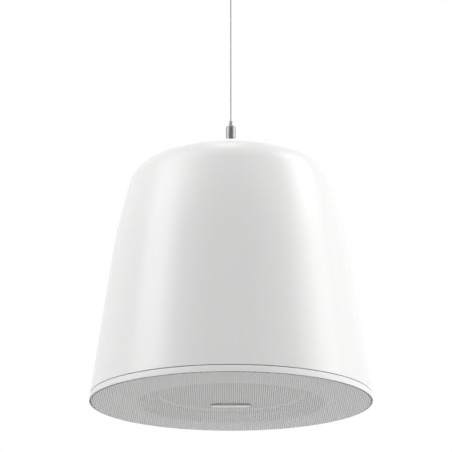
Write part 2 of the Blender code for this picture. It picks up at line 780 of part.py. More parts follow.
def make_woofer_gasket(parent):
    bottom = FLANGE_TOP + TOUCH_GAP
    top = BAFFLE_BOTTOM - TOUCH_GAP
    outer = FRAME_RADIUS - EDGE_GAP
    inner = BAFFLE_OPENING_RADIUS + EDGE_GAP
    profile = raise_profile([(outer, bottom), (outer, top), (inner, top), (inner, bottom)])
    ring = turned("woofer_gasket", profile, DRIVER_SIDES, dark_rubber(), parent=parent)
    holes = bmesh.new()
    for index in range(WOOFER_SCREW_COUNT):
        outline = circle_outline(BOSS_RADIUS / 2, SCREW_SIDES, woofer_screw_place(index))
        merge_bmesh(holes, extruded_bmesh(outline, level(bottom - CUT_MARGIN), level(top + CUT_MARGIN)))
    boolean(ring, hidden_tool("woofer_gasket_tool", holes, parent), "DIFFERENCE")
    return ring


def make_woofer_frame(parent):
    """Pressed basket: flange, open spokes, spider shelf and magnet cup."""
    neck = FLANGE_BOTTOM + FRAME_SHOULDER_DEPTH
    sheet = FRAME_SHEET
    inner_neck = FRAME_NECK_RADIUS - sheet
    profile = raise_profile([
        (FRAME_RADIUS, FLANGE_BOTTOM),
        (FRAME_RADIUS, FLANGE_TOP),
        (FRAME_NECK_RADIUS + sheet, FLANGE_TOP),
        (FRAME_NECK_RADIUS, neck),
        (FRAME_SHELF_RADIUS + sheet, SHELF_LEVEL + sheet),
        (FRAME_CUP_RADIUS, SHELF_LEVEL + sheet),
        (FRAME_CUP_RADIUS, CUP_TOP),
        (FRAME_HOLE_RADIUS, CUP_TOP),
        (FRAME_HOLE_RADIUS, CUP_TOP - sheet),
        (FRAME_CUP_RADIUS - sheet, CUP_TOP - sheet),
        (FRAME_CUP_RADIUS - sheet, SHELF_LEVEL),
        (FRAME_SHELF_RADIUS, SHELF_LEVEL),
        (inner_neck, neck - sheet / 2),
        (inner_neck, FLANGE_BOTTOM),
    ])
    frame = turned("woofer_frame", profile, DRIVER_SIDES, white_enamel(), parent=parent)
    tools = bmesh.new()
    window_bottom = level(neck + 0.002)
    window_top = level(SHELF_LEVEL - 0.003)
    for index in range(FRAME_WINDOWS):
        merge_bmesh(tools, window_wedge(index, window_bottom, window_top))
    for index in range(WOOFER_SCREW_COUNT):
        outline = circle_outline(BOSS_RADIUS / 2, SCREW_SIDES, woofer_screw_place(index))
        drill = extruded_bmesh(outline, level(FLANGE_BOTTOM - CUT_MARGIN), level(FLANGE_TOP + CUT_MARGIN))
        merge_bmesh(tools, drill)
    boolean(frame, hidden_tool("frame_cut_tool", tools, parent), "DIFFERENCE")
    return frame


def window_wedge(index, bottom, top):
    """Block that cuts one window between two spokes of the basket."""
    turn = 2 * math.pi / FRAME_WINDOWS
    middle = turn * index
    reach = FRAME_RADIUS * 1.05
    near = FRAME_SHELF_RADIUS * 0.7
    half_near = near * math.tan(turn / 2) - FRAME_SPOKE_WIDTH / 2
    half_far = reach * math.tan(turn / 2) - FRAME_SPOKE_WIDTH / 2
    corners = ((near, -half_near), (reach, -half_far), (reach, half_far), (near, half_near))
    cos, sin = math.cos(middle), math.sin(middle)
    outline = [(x * cos - y * sin, x * sin + y * cos) for x, y in corners]
    return extruded_bmesh(outline, bottom, top)


def make_magnet_system(parent):
    """Top plate, ring magnet, and back plate turned in one piece with its pole."""
    pole = COIL_RADIUS - MAGNET_GAP
    plate_hole = COIL_RADIUS + COIL_WALL + COIL_WINDING + MAGNET_GAP
    plate_top = TOP_PLATE_BOTTOM + TOP_PLATE_THICKNESS
    turned("top_plate", raise_profile([
        (TOP_PLATE_RADIUS, TOP_PLATE_BOTTOM),
        (TOP_PLATE_RADIUS, plate_top),
        (plate_hole, plate_top),
        (plate_hole, TOP_PLATE_BOTTOM),
    ]), FITTING_SIDES, zinc_steel(), parent=parent)
    magnet_top = MAGNET_BOTTOM + MAGNET_THICKNESS
    turned("ring_magnet", raise_profile([
        (MAGNET_RADIUS - PLATE_BEVEL, MAGNET_BOTTOM),
        (MAGNET_RADIUS, MAGNET_BOTTOM + PLATE_BEVEL),
        (MAGNET_RADIUS, magnet_top - PLATE_BEVEL),
        (MAGNET_RADIUS - PLATE_BEVEL, magnet_top),
        (MAGNET_HOLE_RADIUS, magnet_top),
        (MAGNET_HOLE_RADIUS, MAGNET_BOTTOM),
    ]), FITTING_SIDES, ferrite(), parent=parent)
    turned("back_plate", raise_profile([
        (0.0, TOP_PLATE_BOTTOM),
        (pole - PLATE_BEVEL, TOP_PLATE_BOTTOM),
        (pole, TOP_PLATE_BOTTOM + PLATE_BEVEL),
        (pole, BACK_PLATE_BOTTOM),
        (TOP_PLATE_RADIUS, BACK_PLATE_BOTTOM),
        (TOP_PLATE_RADIUS, BACK_PLATE_TOP - PLATE_BEVEL),
        (TOP_PLATE_RADIUS - PLATE_BEVEL, BACK_PLATE_TOP),
        (0.0, BACK_PLATE_TOP),
    ]), FITTING_SIDES, zinc_steel(), closed=False, parent=parent)


def cone_height(radius):
    """Height of the cone's front face: a gentle curve from its edge to its neck."""
    neck = COIL_RADIUS + COIL_WALL + TOUCH_GAP
    share = (SURROUND_INNER - radius) / (SURROUND_INNER - neck)
    return CONE_EDGE_LEVEL + CONE_DEPTH * (0.8 * share + 0.2 * share * share)


def make_cone(parent):
    neck = COIL_RADIUS + COIL_WALL + TOUCH_GAP
    steps = 3
    radii = [SURROUND_INNER + (neck - SURROUND_INNER) * step / steps for step in range(steps + 1)]
    front = [(radius, cone_height(radius)) for radius in radii]
    back = [(radius, cone_height(radius) + CONE_SHEET * 1.4) for radius in radii]
    profile = raise_profile(front + back[::-1])
    return turned("woofer_cone", profile, DRIVER_SIDES, paper_cone(), parent=parent)


def make_voice_coil(parent):
    wall = COIL_RADIUS + COIL_WALL
    winding = wall + COIL_WINDING
    top = COIL_BOTTOM + COIL_LENGTH
    winding_bottom = top - COIL_WINDING_LENGTH
    return turned("voice_coil", raise_profile([
        (wall, COIL_BOTTOM),
        (wall, winding_bottom),
        (winding, winding_bottom),
        (winding, top),
        (COIL_RADIUS, top),
        (COIL_RADIUS, COIL_BOTTOM),
    ]), FITTING_SIDES, copper(), parent=parent)


def make_surround(parent):
    """Rubber half-roll that joins the cone's edge to the frame."""
    middle = (SURROUND_OUTER + SURROUND_INNER) / 2
    roll = (SURROUND_OUTER - SURROUND_INNER) / 2
    steps = 4
    top = SURROUND_LEVEL
    upper = [(SURROUND_INNER - SURROUND_LIP, top)]
    lower = [(SURROUND_INNER - SURROUND_LIP, top - SURROUND_SHEET)]
    for step in range(steps + 1):
        angle = math.pi * step / steps
        reach = roll - SURROUND_SHEET
        upper.append((middle - math.cos(angle) * reach, top - math.sin(angle) * reach))
        lower.append((middle - math.cos(angle) * roll, top - SURROUND_SHEET - math.sin(angle) * reach))
    upper.append((FRAME_NECK_RADIUS, top))
    lower.append((FRAME_NECK_RADIUS, top - SURROUND_SHEET))
    return turned("surround", raise_profile(lower + upper[::-1]), DRIVER_SIDES, grey_rubber(), parent=parent)


def make_spider(parent):
    """Corrugated cloth ring that centres the voice coil under the frame's shelf."""
    inner = COIL_RADIUS + COIL_WALL + TOUCH_GAP
    wave_end = FRAME_CUP_RADIUS - FRAME_SHEET - 0.002
    top = SHELF_LEVEL - TOUCH_GAP
    steps = SPIDER_ROLLS * 2
    upper = [(inner, top)]
    for step in range(steps + 1):
        radius = inner + 0.003 + (wave_end - inner - 0.003) * step / steps
        upper.append((radius, top - (SPIDER_WAVE if step % 2 else 0.0)))
    upper.append((FRAME_SHELF_RADIUS - EDGE_GAP, top))
    lower = [(radius, height - SPIDER_SHEET) for radius, height in upper]
    return turned("spider", raise_profile(lower + upper[::-1]), FITTING_SIDES, finish_material(
        "spider_cloth", (0.45, 0.33, 0.14), 0.85), parent=parent)


def make_tweeter(parent):
    """Post on the pole, tweeter cup and its dome, in the middle of the woofer cone."""
    post_top = TOP_PLATE_BOTTOM - TOUCH_GAP
    cup_top = COIL_BOTTOM + 0.008
    cup_bottom = cup_top - TWEETER_HEIGHT
    bore = TWEETER_DOME_RADIUS + TWEETER_RING
    turned("tweeter_post", raise_profile([
        (0.0, cup_top + TOUCH_GAP),
        (POST_RADIUS, cup_top + TOUCH_GAP),
        (POST_RADIUS, post_top),
        (0.0, post_top),
    ]), SMALL_SIDES, zinc_steel(), closed=False, parent=parent)
    turned("tweeter_cup", raise_profile([
        (0.0, cup_top),
        (TWEETER_RADIUS - PLATE_BEVEL, cup_top),
        (TWEETER_RADIUS, cup_top - PLATE_BEVEL),
        (TWEETER_RADIUS, cup_bottom + PLATE_BEVEL),
        (TWEETER_RADIUS - PLATE_BEVEL, cup_bottom),
        (bore + 0.0015, cup_bottom),
        (bore, cup_bottom + TWEETER_WALL),
        (bore, cup_bottom + 3 * TWEETER_WALL),
        (0.0, cup_bottom + 3 * TWEETER_WALL),
    ]), FITTING_SIDES, black_plastic(), closed=False, parent=parent)
    base = cup_bottom + 3 * TWEETER_WALL - TOUCH_GAP
    dome = [(0.0, base), (TWEETER_DOME_RADIUS, base)]
    steps = 4
    for step in range(steps + 1):
        angle = math.pi / 2 * step / steps
        radius = TWEETER_DOME_RADIUS * 0.97 * math.cos(angle)
        height = base - 0.0006 - TWEETER_DOME_HEIGHT * math.sin(angle)
        dome.append((radius if step < steps else 0.0, height))
    turned("tweeter_dome", raise_profile(dome), SMALL_SIDES, finish_material(
        "dome_silk", (0.10, 0.10, 0.11), 0.6), closed=False, parent=parent)


def make_tray(parent):
    """Moulded tray on the magnet's back, which carries the crossover and transformer."""
    profile = raise_profile([
        (0.0, TRAY_BOTTOM),
        (TRAY_RADIUS, TRAY_BOTTOM),
        (TRAY_RADIUS, TRAY_BOTTOM + TRAY_RIM),
        (TRAY_RADIUS - TRAY_FLOOR, TRAY_BOTTOM + TRAY_RIM),
        (TRAY_RADIUS - TRAY_FLOOR, TRAY_TOP),
        (0.0, TRAY_TOP),
    ])
    turned("circuit_tray", profile, FITTING_SIDES, black_plastic(), closed=False, parent=parent)


def make_crossover(parent):
    """Circuit board with its inductor, capacitor and power resistor."""
    centre_x = BOARD_OFFSET
    bottom = level(TRAY_TOP + TOUCH_GAP)
    top = bottom + BOARD_THICKNESS
    outline = block_outline(BOARD_WIDTH, BOARD_LENGTH, (centre_x, 0.0))
    extruded("crossover_board", outline, bottom, top, board_green(), parent)

    seat = top + TOUCH_GAP
    core = COIL_CAN_RADIUS * 0.4
    rim = COIL_CAN_HEIGHT * 0.15
    turned("crossover_inductor", [
        (COIL_CAN_RADIUS, seat),
        (COIL_CAN_RADIUS, seat + rim),
        (COIL_CAN_RADIUS * 0.9, seat + rim),
        (COIL_CAN_RADIUS * 0.9, seat + COIL_CAN_HEIGHT - rim),
        (COIL_CAN_RADIUS, seat + COIL_CAN_HEIGHT - rim),
        (COIL_CAN_RADIUS, seat + COIL_CAN_HEIGHT),
        (core, seat + COIL_CAN_HEIGHT),
        (core, seat),
    ], SMALL_SIDES, copper(), centre=(centre_x, -BOARD_LENGTH / 4), parent=parent)

    bm = turned_bmesh([
        (0.0, -CAPACITOR_LENGTH / 2),
        (CAPACITOR_RADIUS, -CAPACITOR_LENGTH / 2),
        (CAPACITOR_RADIUS, CAPACITOR_LENGTH / 2),
        (0.0, CAPACITOR_LENGTH / 2),
    ], SMALL_SIDES, closed=False)
    capacitor = add_mesh_object("crossover_capacitor", bm, finish_material(
        "capacitor_film", (0.55, 0.38, 0.06), 0.4), parent)
    capacitor.rotation_euler = (0.0, math.pi / 2, 0.0)
    capacitor.location = (centre_x, BOARD_LENGTH / 10, seat + CAPACITOR_RADIUS)

    outline = block_outline(RESISTOR_LENGTH, RESISTOR_WIDTH, (centre_x, BOARD_LENGTH / 3))
    extruded("crossover_resistor", outline, seat, seat + RESISTOR_WIDTH, finish_material(
        "resistor_ceramic", (0.75, 0.74, 0.70), 0.6), parent)


def make_transformer(parent):
    """Line transformer: core with two windows, and the wound bobbin on its middle leg."""
    x = TRANSFORMER_OFFSET
    bottom = level(TRAY_TOP + TOUCH_GAP)
    top = bottom + CORE_HEIGHT
    core = extruded("transformer_core", block_outline(CORE_DEPTH, CORE_LENGTH, (x, 0.0)), bottom, top,
                    zinc_steel(), parent)
    yoke = (CORE_HEIGHT - 2 * CORE_WINDOW) / 4
    windows = bmesh.new()
    for side in (-1, 1):
        centre = (x, side * (CORE_LEG + CORE_WINDOW) / 2)
        outline = block_outline(CORE_DEPTH + 0.004, CORE_WINDOW, centre)
        merge_bmesh(windows, extruded_bmesh(outline, bottom + yoke, top - yoke))
    boolean(core, hidden_tool("core_window_tool", windows, parent), "DIFFERENCE")

    gap = TOUCH_GAP
    bobbin_bottom = bottom + yoke + gap
    bobbin_top = top - yoke - gap
    outline = block_outline(CORE_DEPTH + 2 * BOBBIN_BULGE, CORE_LEG + 2 * CORE_WINDOW - 2 * gap, (x, 0.0))
    bobbin = extruded("transformer_bobbin", outline, bobbin_bottom, bobbin_top, copper(), parent)
    leg = block_outline(CORE_DEPTH + 2 * gap, CORE_LEG + 2 * gap, (x, 0.0))
    slot = extruded_bmesh(leg, bobbin_bottom - CUT_MARGIN, bobbin_top + CUT_MARGIN)
    tool = hidden_tool("bobbin_hole_tool", slot, parent)
    boolean(bobbin, tool, "DIFFERENCE")


def gripper_levels():
    """Heights of the wire gripper's main faces."""
    base_bottom = crown_height(0.0) + TOUCH_GAP
    barrel_bottom = base_bottom + GRIPPER_BASE_HEIGHT + TOUCH_GAP
    barrel_top = barrel_bottom + GRIPPER_BARREL_LENGTH
    spigot_top = barrel_bottom + GRIPPER_SPIGOT_LENGTH
    ball_level = barrel_top - GRIP_BALL_DEPTH
    collar_bottom = ball_level - GRIP_BALL_RADIUS - CAGE_COLLAR_HEIGHT - CAGE_COLLAR_DROP
    return base_bottom, barrel_bottom, barrel_top, spigot_top, ball_level, collar_bottom


def make_gripper(parent):
    """Base with its stud, and the barrel whose inner cone wedges the balls on the wire."""
    base_bottom, barrel_bottom, barrel_top, spigot_top, ball_level, collar_bottom = gripper_levels()
    stud_end = base_bottom - STUD_LENGTH
    spigot = GRIPPER_BORE - GRIPPER_THREAD_GAP
    turned("gripper_base", raise_profile([
        (STUD_BORE, stud_end),
        (STUD_RADIUS - TUBE_BEVEL, stud_end),
        (STUD_RADIUS, stud_end + TUBE_BEVEL),
        (STUD_RADIUS, base_bottom),
        (GRIPPER_BASE_RADIUS, base_bottom),
        (GRIPPER_BASE_RADIUS, base_bottom + GRIPPER_BASE_HEIGHT * 0.5),
        (GRIPPER_RADIUS, base_bottom + GRIPPER_BASE_HEIGHT),
        (spigot, base_bottom + GRIPPER_BASE_HEIGHT),
        (spigot, spigot_top),
        (STUD_BORE, spigot_top),
    ]), SMALL_SIDES, nickel(), parent=parent)

    wire = WIRE_DIAMETER / 2
    cone_at_balls = wire + 2 * GRIP_BALL_RADIUS + TOUCH_GAP
    bore = CAGE_TOP_RADIUS + CAGE_SLACK + TOUCH_GAP / 2
    cone_top = ball_level + (cone_at_balls - bore) / GRIP_CONE_SLOPE
    cone_bottom = ball_level - (GRIPPER_BORE - cone_at_balls) / GRIP_CONE_SLOPE
    turned("gripper_barrel", raise_profile([
        (GRIPPER_RADIUS - 0.0003, barrel_bottom),
        (GRIPPER_RADIUS, barrel_bottom + 0.0003),
        (GRIPPER_RADIUS, barrel_top - GRIPPER_CHAMFER),
        (GRIPPER_RADIUS - GRIPPER_CHAMFER, barrel_top),
        (bore, barrel_top),
        (bore, cone_top),
        (GRIPPER_BORE, cone_bottom),
        (GRIPPER_BORE, barrel_bottom),
    ]), FITTING_SIDES, nickel(), parent=parent)


def make_nipple(parent):
    """Release nipple: a tube whose lower end is the cage of the three grip balls."""
    base_bottom, barrel_bottom, barrel_top, spigot_top, ball_level, collar_bottom = gripper_levels()
    bore = CAGE_TOP_RADIUS - CAGE_WALL
    top = barrel_top + NIPPLE_REACH
    nipple = turned("release_nipple", raise_profile([
        (bore, collar_bottom),
        (CAGE_COLLAR_RADIUS, collar_bottom),
        (CAGE_COLLAR_RADIUS, collar_bottom + CAGE_COLLAR_HEIGHT),
        (CAGE_TOP_RADIUS, collar_bottom + CAGE_COLLAR_HEIGHT),
        (CAGE_TOP_RADIUS, top - TUBE_BEVEL),
        (CAGE_TOP_RADIUS - 0.0004, top),
        (bore, top),
    ]), SMALL_SIDES, nickel(), parent=parent)
    windows = bmesh.new()
    for index in range(GRIP_BALL_COUNT):
        opening = GRIP_BALL_RADIUS + 0.0002
        wedge = extruded_bmesh(circle_outline(opening, 10), CAGE_WINDOW_START, CAGE_TOP_RADIUS * 2)
        around = Matrix.Rotation(2 * math.pi * index / GRIP_BALL_COUNT, 3, "Z")
        sideways = Matrix.Rotation(math.pi / 2, 3, "Y")
        bmesh.ops.rotate(wedge, verts=wedge.verts, matrix=around @ sideways)
        bmesh.ops.translate(wedge, verts=wedge.verts, vec=(0.0, 0.0, level(ball_level)))
        merge_bmesh(windows, wedge)
    boolean(nipple, hidden_tool("cage_window_tool", windows, parent), "DIFFERENCE")

    distance = WIRE_DIAMETER / 2 + GRIP_BALL_RADIUS + TOUCH_GAP / 2
    for index in range(GRIP_BALL_COUNT):
        x, y = ring_place(distance, index, GRIP_BALL_COUNT)
        bm = bmesh.new()
        bmesh.ops.create_icosphere(bm, subdivisions=1, radius=GRIP_BALL_RADIUS)
        ball = add_mesh_object(f"grip_ball_{index + 1}", bm, zinc_steel(), parent)
        ball.location = (x, y, level(ball_level))


def make_gripper_spring(parent):
    """Small coil spring between the base's spigot and the nipple's collar."""
    spigot_top = gripper_levels()[3]
    collar_bottom = gripper_levels()[5]
    radius = (CAGE_COLLAR_RADIUS + STUD_BORE) / 2
    wire = SPRING_WIRE / 2
    low = spigot_top + TOUCH_GAP + wire
    high = collar_bottom - TOUCH_GAP - wire
    steps = int(SPRING_TURNS * 7)
    points = []
    for step in range(steps + 1):
        angle = 2 * math.pi * SPRING_TURNS * step / steps
        share = step / steps
        height = low + (high - low) * share
        points.append((radius * math.cos(angle), radius * math.sin(angle), level(height)))
    return add_tube("gripper_spring", points, SPRING_WIRE, zinc_steel(), parent, 1)


def add_tube(name, points, diameter, material, parent, resolution=2):
    curve = bpy.data.curves.new(name, "CURVE")
    curve.dimensions = "3D"
    curve.bevel_depth = diameter / 2
    curve.bevel_resolution = resolution
    curve.use_fill_caps = True
    spline = curve.splines.new("POLY")
    spline.points.add(len(points) - 1)
    for point, place in zip(spline.points, points):
        point.co = (*place, 1.0)
    curve.materials.append(material)
    obj = bpy.data.objects.new(name, curve)
    bpy.context.collection.objects.link(obj)
    obj.parent = parent
    return obj


def hex_outline(across_flats, centre=(0.0, 0.0)):
    return circle_outline(across_flats / math.sqrt(3), 6, centre)


def make_stud_fixings(parent):
    """Load-spreading plate, washer and nut that clamp the gripper to the crown."""
    steps = 2
    top_offset = WALL_THICKNESS + TOUCH_GAP
    low_offset = top_offset + LOAD_PLATE_THICKNESS
    width = LOAD_PLATE_RADIUS - STUD_HOLE_RADIUS
    radii = [STUD_HOLE_RADIUS + width * step / steps for step in range(steps + 1)]
    upper = [(radius, crown_height(radius, top_offset)) for radius in radii]
    lower = [(radius, crown_height(radius, low_offset)) for radius in radii]
    turned("load_plate", raise_profile(lower + upper[::-1]), FITTING_SIDES, zinc_steel(), parent=parent)

    washer_top = crown_height(WASHER_RADIUS, low_offset) - TOUCH_GAP
    washer_bottom = washer_top - WASHER_THICKNESS
    turned("stud_washer", raise_profile([
        (WASHER_RADIUS, washer_bottom),
        (WASHER_RADIUS, washer_top),
        (STUD_HOLE_RADIUS, washer_top),
        (STUD_HOLE_RADIUS, washer_bottom),
    ]), SMALL_SIDES, zinc_steel(), parent=parent)

    nut_top = level(washer_bottom - TOUCH_GAP)
    nut_bottom = nut_top - NUT_HEIGHT
    nut = extruded("stud_nut", hex_outline(NUT_ACROSS_FLATS), nut_bottom, nut_top, zinc_steel(), parent)
    thread = circle_outline(STUD_RADIUS + TOUCH_GAP, SMALL_SIDES)
    bore = extruded_bmesh(thread, nut_bottom - CUT_MARGIN, nut_top + CUT_MARGIN)
    tool = hidden_tool("nut_thread_tool", bore, parent)
    boolean(nut, tool, "DIFFERENCE")


def make_gland(parent):
    """Cable gland through the crown behind the gripper, square to the crown's skin."""
    seat = crown_height(GLAND_DISTANCE)
    lean = crown_slope(GLAND_DISTANCE)
    frame = add_empty("gland_axis", (0.0, GLAND_DISTANCE, level(seat)), (-lean, 0.0, 0.0), parent)
    flange = GLAND_FLANGE_RADIUS
    nose = GLAND_THREAD_RADIUS + GLAND_WALL
    base = TOUCH_GAP
    turned("cable_gland", [
        (GLAND_THREAD_RADIUS, -GLAND_THREAD_LENGTH),
        (GLAND_THREAD_RADIUS, base),
        (flange, base),
        (flange, base + GLAND_FLANGE_HEIGHT),
        (nose, base + GLAND_FLANGE_HEIGHT),
        (nose, base + GLAND_FLANGE_HEIGHT + GLAND_NOSE_HEIGHT * 0.6),
        (GLAND_BORE_RADIUS + GLAND_WALL, base + GLAND_FLANGE_HEIGHT + GLAND_NOSE_HEIGHT),
        (GLAND_BORE_RADIUS, base + GLAND_FLANGE_HEIGHT + GLAND_NOSE_HEIGHT),
        (GLAND_BORE_RADIUS, -GLAND_THREAD_LENGTH),
    ], SMALL_SIDES, black_plastic(), parent=frame)

    nut_top = -WALL_THICKNESS - GLAND_SEAT_DROP
    outline = hex_outline(2 * flange)
    nut_bottom = nut_top - GLAND_NUT_HEIGHT
    nut = extruded("gland_nut", outline, nut_bottom, nut_top, black_plastic(), frame)
    thread = circle_outline(GLAND_THREAD_RADIUS + TOUCH_GAP, SMALL_SIDES)
    thread_hole = extruded_bmesh(thread, nut_bottom - CUT_MARGIN, nut_top + CUT_MARGIN)
    tool = hidden_tool("gland_thread_tool", thread_hole, frame)
    boolean(nut, tool, "DIFFERENCE")


def terminal_place():
    """Middle of the terminal block's top face, under the load plate."""
    x = -(WASHER_RADIUS + TERMINAL_WIDTH / 2 + 0.003)
    outer = abs(x) + TERMINAL_WIDTH / 2
    reach = math.hypot(outer, TERMINAL_LENGTH / 2)
    top = crown_height(reach, WALL_THICKNESS + LOAD_PLATE_THICKNESS + TOUCH_GAP) - TOUCH_GAP
    return x, top


def make_terminal_block(parent):
    """Input terminals under the load plate, with two wire sockets in the block."""
    x, top = terminal_place()
    outline = block_outline(TERMINAL_WIDTH, TERMINAL_LENGTH, (x, 0.0))
    bottom = level(top - TERMINAL_HEIGHT)
    block = extruded("terminal_block", outline, bottom, level(top), white_enamel(), parent)
    sockets = bmesh.new()
    for side in (-1, 1):
        centre = (x, side * TERMINAL_LENGTH / 4)
        outline = circle_outline(LEAD_DIAMETER / 2 + TOUCH_GAP, SMALL_SIDES, centre)
        socket = extruded_bmesh(outline, bottom - CUT_MARGIN, level(top - TERMINAL_HEIGHT * 0.5))
        merge_bmesh(sockets, socket)
    boolean(block, hidden_tool("socket_tool", sockets, parent), "DIFFERENCE")


def smooth_route(points, count):
    """Points at even steps on a smooth curve through a lead's route points."""
    knots = [Vector(point) for point in points]
    padded = [2 * knots[0] - knots[1]] + knots + [2 * knots[-1] - knots[-2]]
    spans = len(knots) - 1
    result = []
    for step in range(count):
        place = spans * step / (count - 1)
        index = min(int(place), spans - 1)
        t = place - index
        p0, p1, p2, p3 = padded[index:index + 4]
        result.append(0.5 * (2 * p1 + (p2 - p0) * t + (2 * p0 - 5 * p1 + 4 * p2 - p3) * t ** 2
                             + (3 * p1 - p0 - 3 * p2 + p3) * t ** 3))
    return result


def make_leads(parent):
    """Lead from the input terminals to the transformer, along its whole route."""
    x, block_top = terminal_place()
    start = block_top - TERMINAL_HEIGHT * 0.5 - TOUCH_GAP
    end = TRAY_TOP + TOUCH_GAP + CORE_HEIGHT + TOUCH_GAP
    side = TERMINAL_LENGTH / 4
    middle = (start + end) / 2
    third = (start - end) * 0.3
    points = [
        (x, side, level(start)),
        (x, side, level(start - LEAD_STRAIGHT)),
        (x, side, level(start - 2 * LEAD_STRAIGHT)),
        (x - LEAD_BULGE * 0.8, side + LEAD_BULGE, level(middle + third)),
        (x - LEAD_BULGE * 1.3, side + LEAD_BULGE * 1.2, level(middle)),
        (TRANSFORMER_OFFSET - LEAD_BULGE / 2, side + LEAD_BULGE / 2, level(middle - third)),
        (TRANSFORMER_OFFSET, side, level(end + LEAD_BULGE)),
        (TRANSFORMER_OFFSET, side, level(end)),
    ]
    add_tube("input_lead", smooth_route(points, 20), LEAD_DIAMETER, dark_rubber(), parent)


def make_lining(parent):
    """Felt ring against the inside of the wall."""
    skin = WALL_THICKNESS + TOUCH_GAP
    steps = 2
    outer = []
    path = bell_path(skin, LINING_BOTTOM, 0.0, INNER_STEPS)
    for step in range(steps + 1):
        height = LINING_BOTTOM + (LINING_TOP - LINING_BOTTOM) * step / steps
        outer.append((path_radius(path, height), height))
    inner = [(radius - LINING_THICKNESS, height) for radius, height in outer]
    profile = raise_profile(outer + inner[::-1])
    return turned("acoustic_lining", profile, HOUSING_SIDES, felt(), parent=parent)


def path_radius(path, height):
    """Radius of a bell section at a height, between its stations."""
    for (r1, z1), (r2, z2) in zip(path, path[1:]):
        if z1 <= height <= z2:
            return r1 + (r2 - r1) * (height - z1) / (z2 - z1)
    return path[0][0]


def make_ceiling_fitting():
    """Base with two screw holes, and the cap that screws on it and holds the ball end."""
    top = 0.0
    flange = top - CEILING_FLANGE_THICKNESS
    spigot = flange - CEILING_SPIGOT_LENGTH
    base = turned("ceiling_base", [
        (0.0, spigot),
        (CEILING_SPIGOT_RADIUS - 0.0005, spigot),
        (CEILING_SPIGOT_RADIUS, spigot + 0.0005),
        (CEILING_SPIGOT_RADIUS, flange),
        (CEILING_FLANGE_RADIUS - 0.0005, flange),
        (CEILING_FLANGE_RADIUS, flange + 0.0005),
        (CEILING_FLANGE_RADIUS, top),
        (0.0, top),
    ], FITTING_SIDES, nickel(), closed=False)
    holes = bmesh.new()
    for index in range(CEILING_HOLE_COUNT):
        centre = ring_place(CEILING_HOLE_CIRCLE, index, CEILING_HOLE_COUNT)
        outline = circle_outline(CEILING_HOLE_RADIUS, SCREW_SIDES * 2, centre)
        merge_bmesh(holes, extruded_bmesh(outline, flange - CUT_MARGIN, top + CUT_MARGIN))
    boolean(base, hidden_tool("ceiling_hole_tool", holes), "DIFFERENCE")

    cap_top = flange - TOUCH_GAP
    cap_bottom = cap_top - CAP_HEIGHT
    floor = cap_bottom + CAP_FLOOR
    bore = CEILING_SPIGOT_RADIUS + GRIPPER_THREAD_GAP
    seat_top = floor - CAP_SEAT_DROP
    seat_radius = BALL_END_RADIUS + TOUCH_GAP
    seat_edge = seat_radius + CAP_SEAT_MARGIN
    turned("ceiling_cap", [
        (CAP_RADIUS, cap_top),
        (bore, cap_top),
        (bore, floor),
        (seat_edge, floor),
        (seat_edge, seat_top),
        (CAP_WIRE_HOLE, seat_top - seat_edge),
        (CAP_WIRE_HOLE, cap_bottom),
        (CAP_RADIUS - CAP_CHAMFER, cap_bottom),
        (CAP_RADIUS, cap_bottom + CAP_CHAMFER),
    ], FITTING_SIDES, nickel())
    return seat_top, seat_radius


def ball_end_height(seat_top, seat_radius):
    """Z of the ball end's middle, where it touches the cap's 45-degree seat."""
    seat_edge = seat_radius + CAP_SEAT_MARGIN
    slope = math.atan2(seat_edge - CAP_WIRE_HOLE, seat_edge)
    apex = seat_top - seat_edge / math.tan(slope)
    return apex + (BALL_END_RADIUS + TOUCH_GAP) / math.sin(slope)


def make_wire(seat_top, seat_radius):
    """Suspension wire from its crimped ball end, down through the gripper into the bell."""
    axis = add_empty("wire_axis", (0.0, 0.0, 0.0))
    centre = ball_end_height(seat_top, seat_radius)
    rim = BALL_END_RADIUS
    steps = 4
    bottom_hole = WIRE_DIAMETER / 2
    start = math.asin(bottom_hole / rim)
    ball = []
    for step in range(steps + 1):
        angle = start + (math.pi - start) * step / steps
        radius = rim * math.sin(angle) if step < steps else 0.0
        ball.append((radius, centre - rim * math.cos(angle)))
    ball.insert(0, (0.0, ball[0][1]))
    turned("wire_ball", ball, SMALL_SIDES, zinc_steel(), closed=False, parent=axis)

    top = ball[0][1] - TOUCH_GAP
    bottom = level(crown_height(0.0) - WIRE_TAIL)
    points = []
    for step in range(WIRE_POINTS):
        share = step / (WIRE_POINTS - 1)
        points.append((0.0, 0.0, top + (bottom - top) * share))
    add_tube("suspension_wire", points, WIRE_DIAMETER, zinc_steel(), axis)


def main():
    clear_scene()
    seat_top, seat_radius = make_ceiling_fitting()
    make_wire(seat_top, seat_radius)

    speaker = add_empty("speaker_axis", (0.0, 0.0, 0.0))
    make_housing(speaker)
    make_bezel(speaker)
    make_grille(speaker)
    make_badge(speaker)
    make_grille_magnets(speaker)
    make_baffle(speaker)
    make_baffle_gasket(speaker)
    make_baffle_screws(speaker)
    make_port(speaker)
    make_woofer_gasket(speaker)
    make_woofer_frame(speaker)
    make_woofer_screws(speaker)
    make_surround(speaker)
    make_spider(speaker)
    make_magnet_system(speaker)
    make_tweeter(speaker)
    make_tray(speaker)
    make_crossover(speaker)
    make_transformer(speaker)
    make_gripper(speaker)
    make_gripper_spring(speaker)
    make_stud_fixings(speaker)
    make_gland(speaker)
    make_terminal_block(speaker)
    make_leads(speaker)
    make_lining(speaker)

    cone = add_empty("cone_axis", (0.0, 0.0, 0.0), parent=speaker)
    make_cone(cone)
    make_voice_coil(cone)
    nipple = add_empty("nipple_axis", (0.0, 0.0, 0.0), parent=speaker)
    make_nipple(nipple)


main()
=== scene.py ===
import math

import bmesh
import bpy
from mathutils import Matrix, Vector


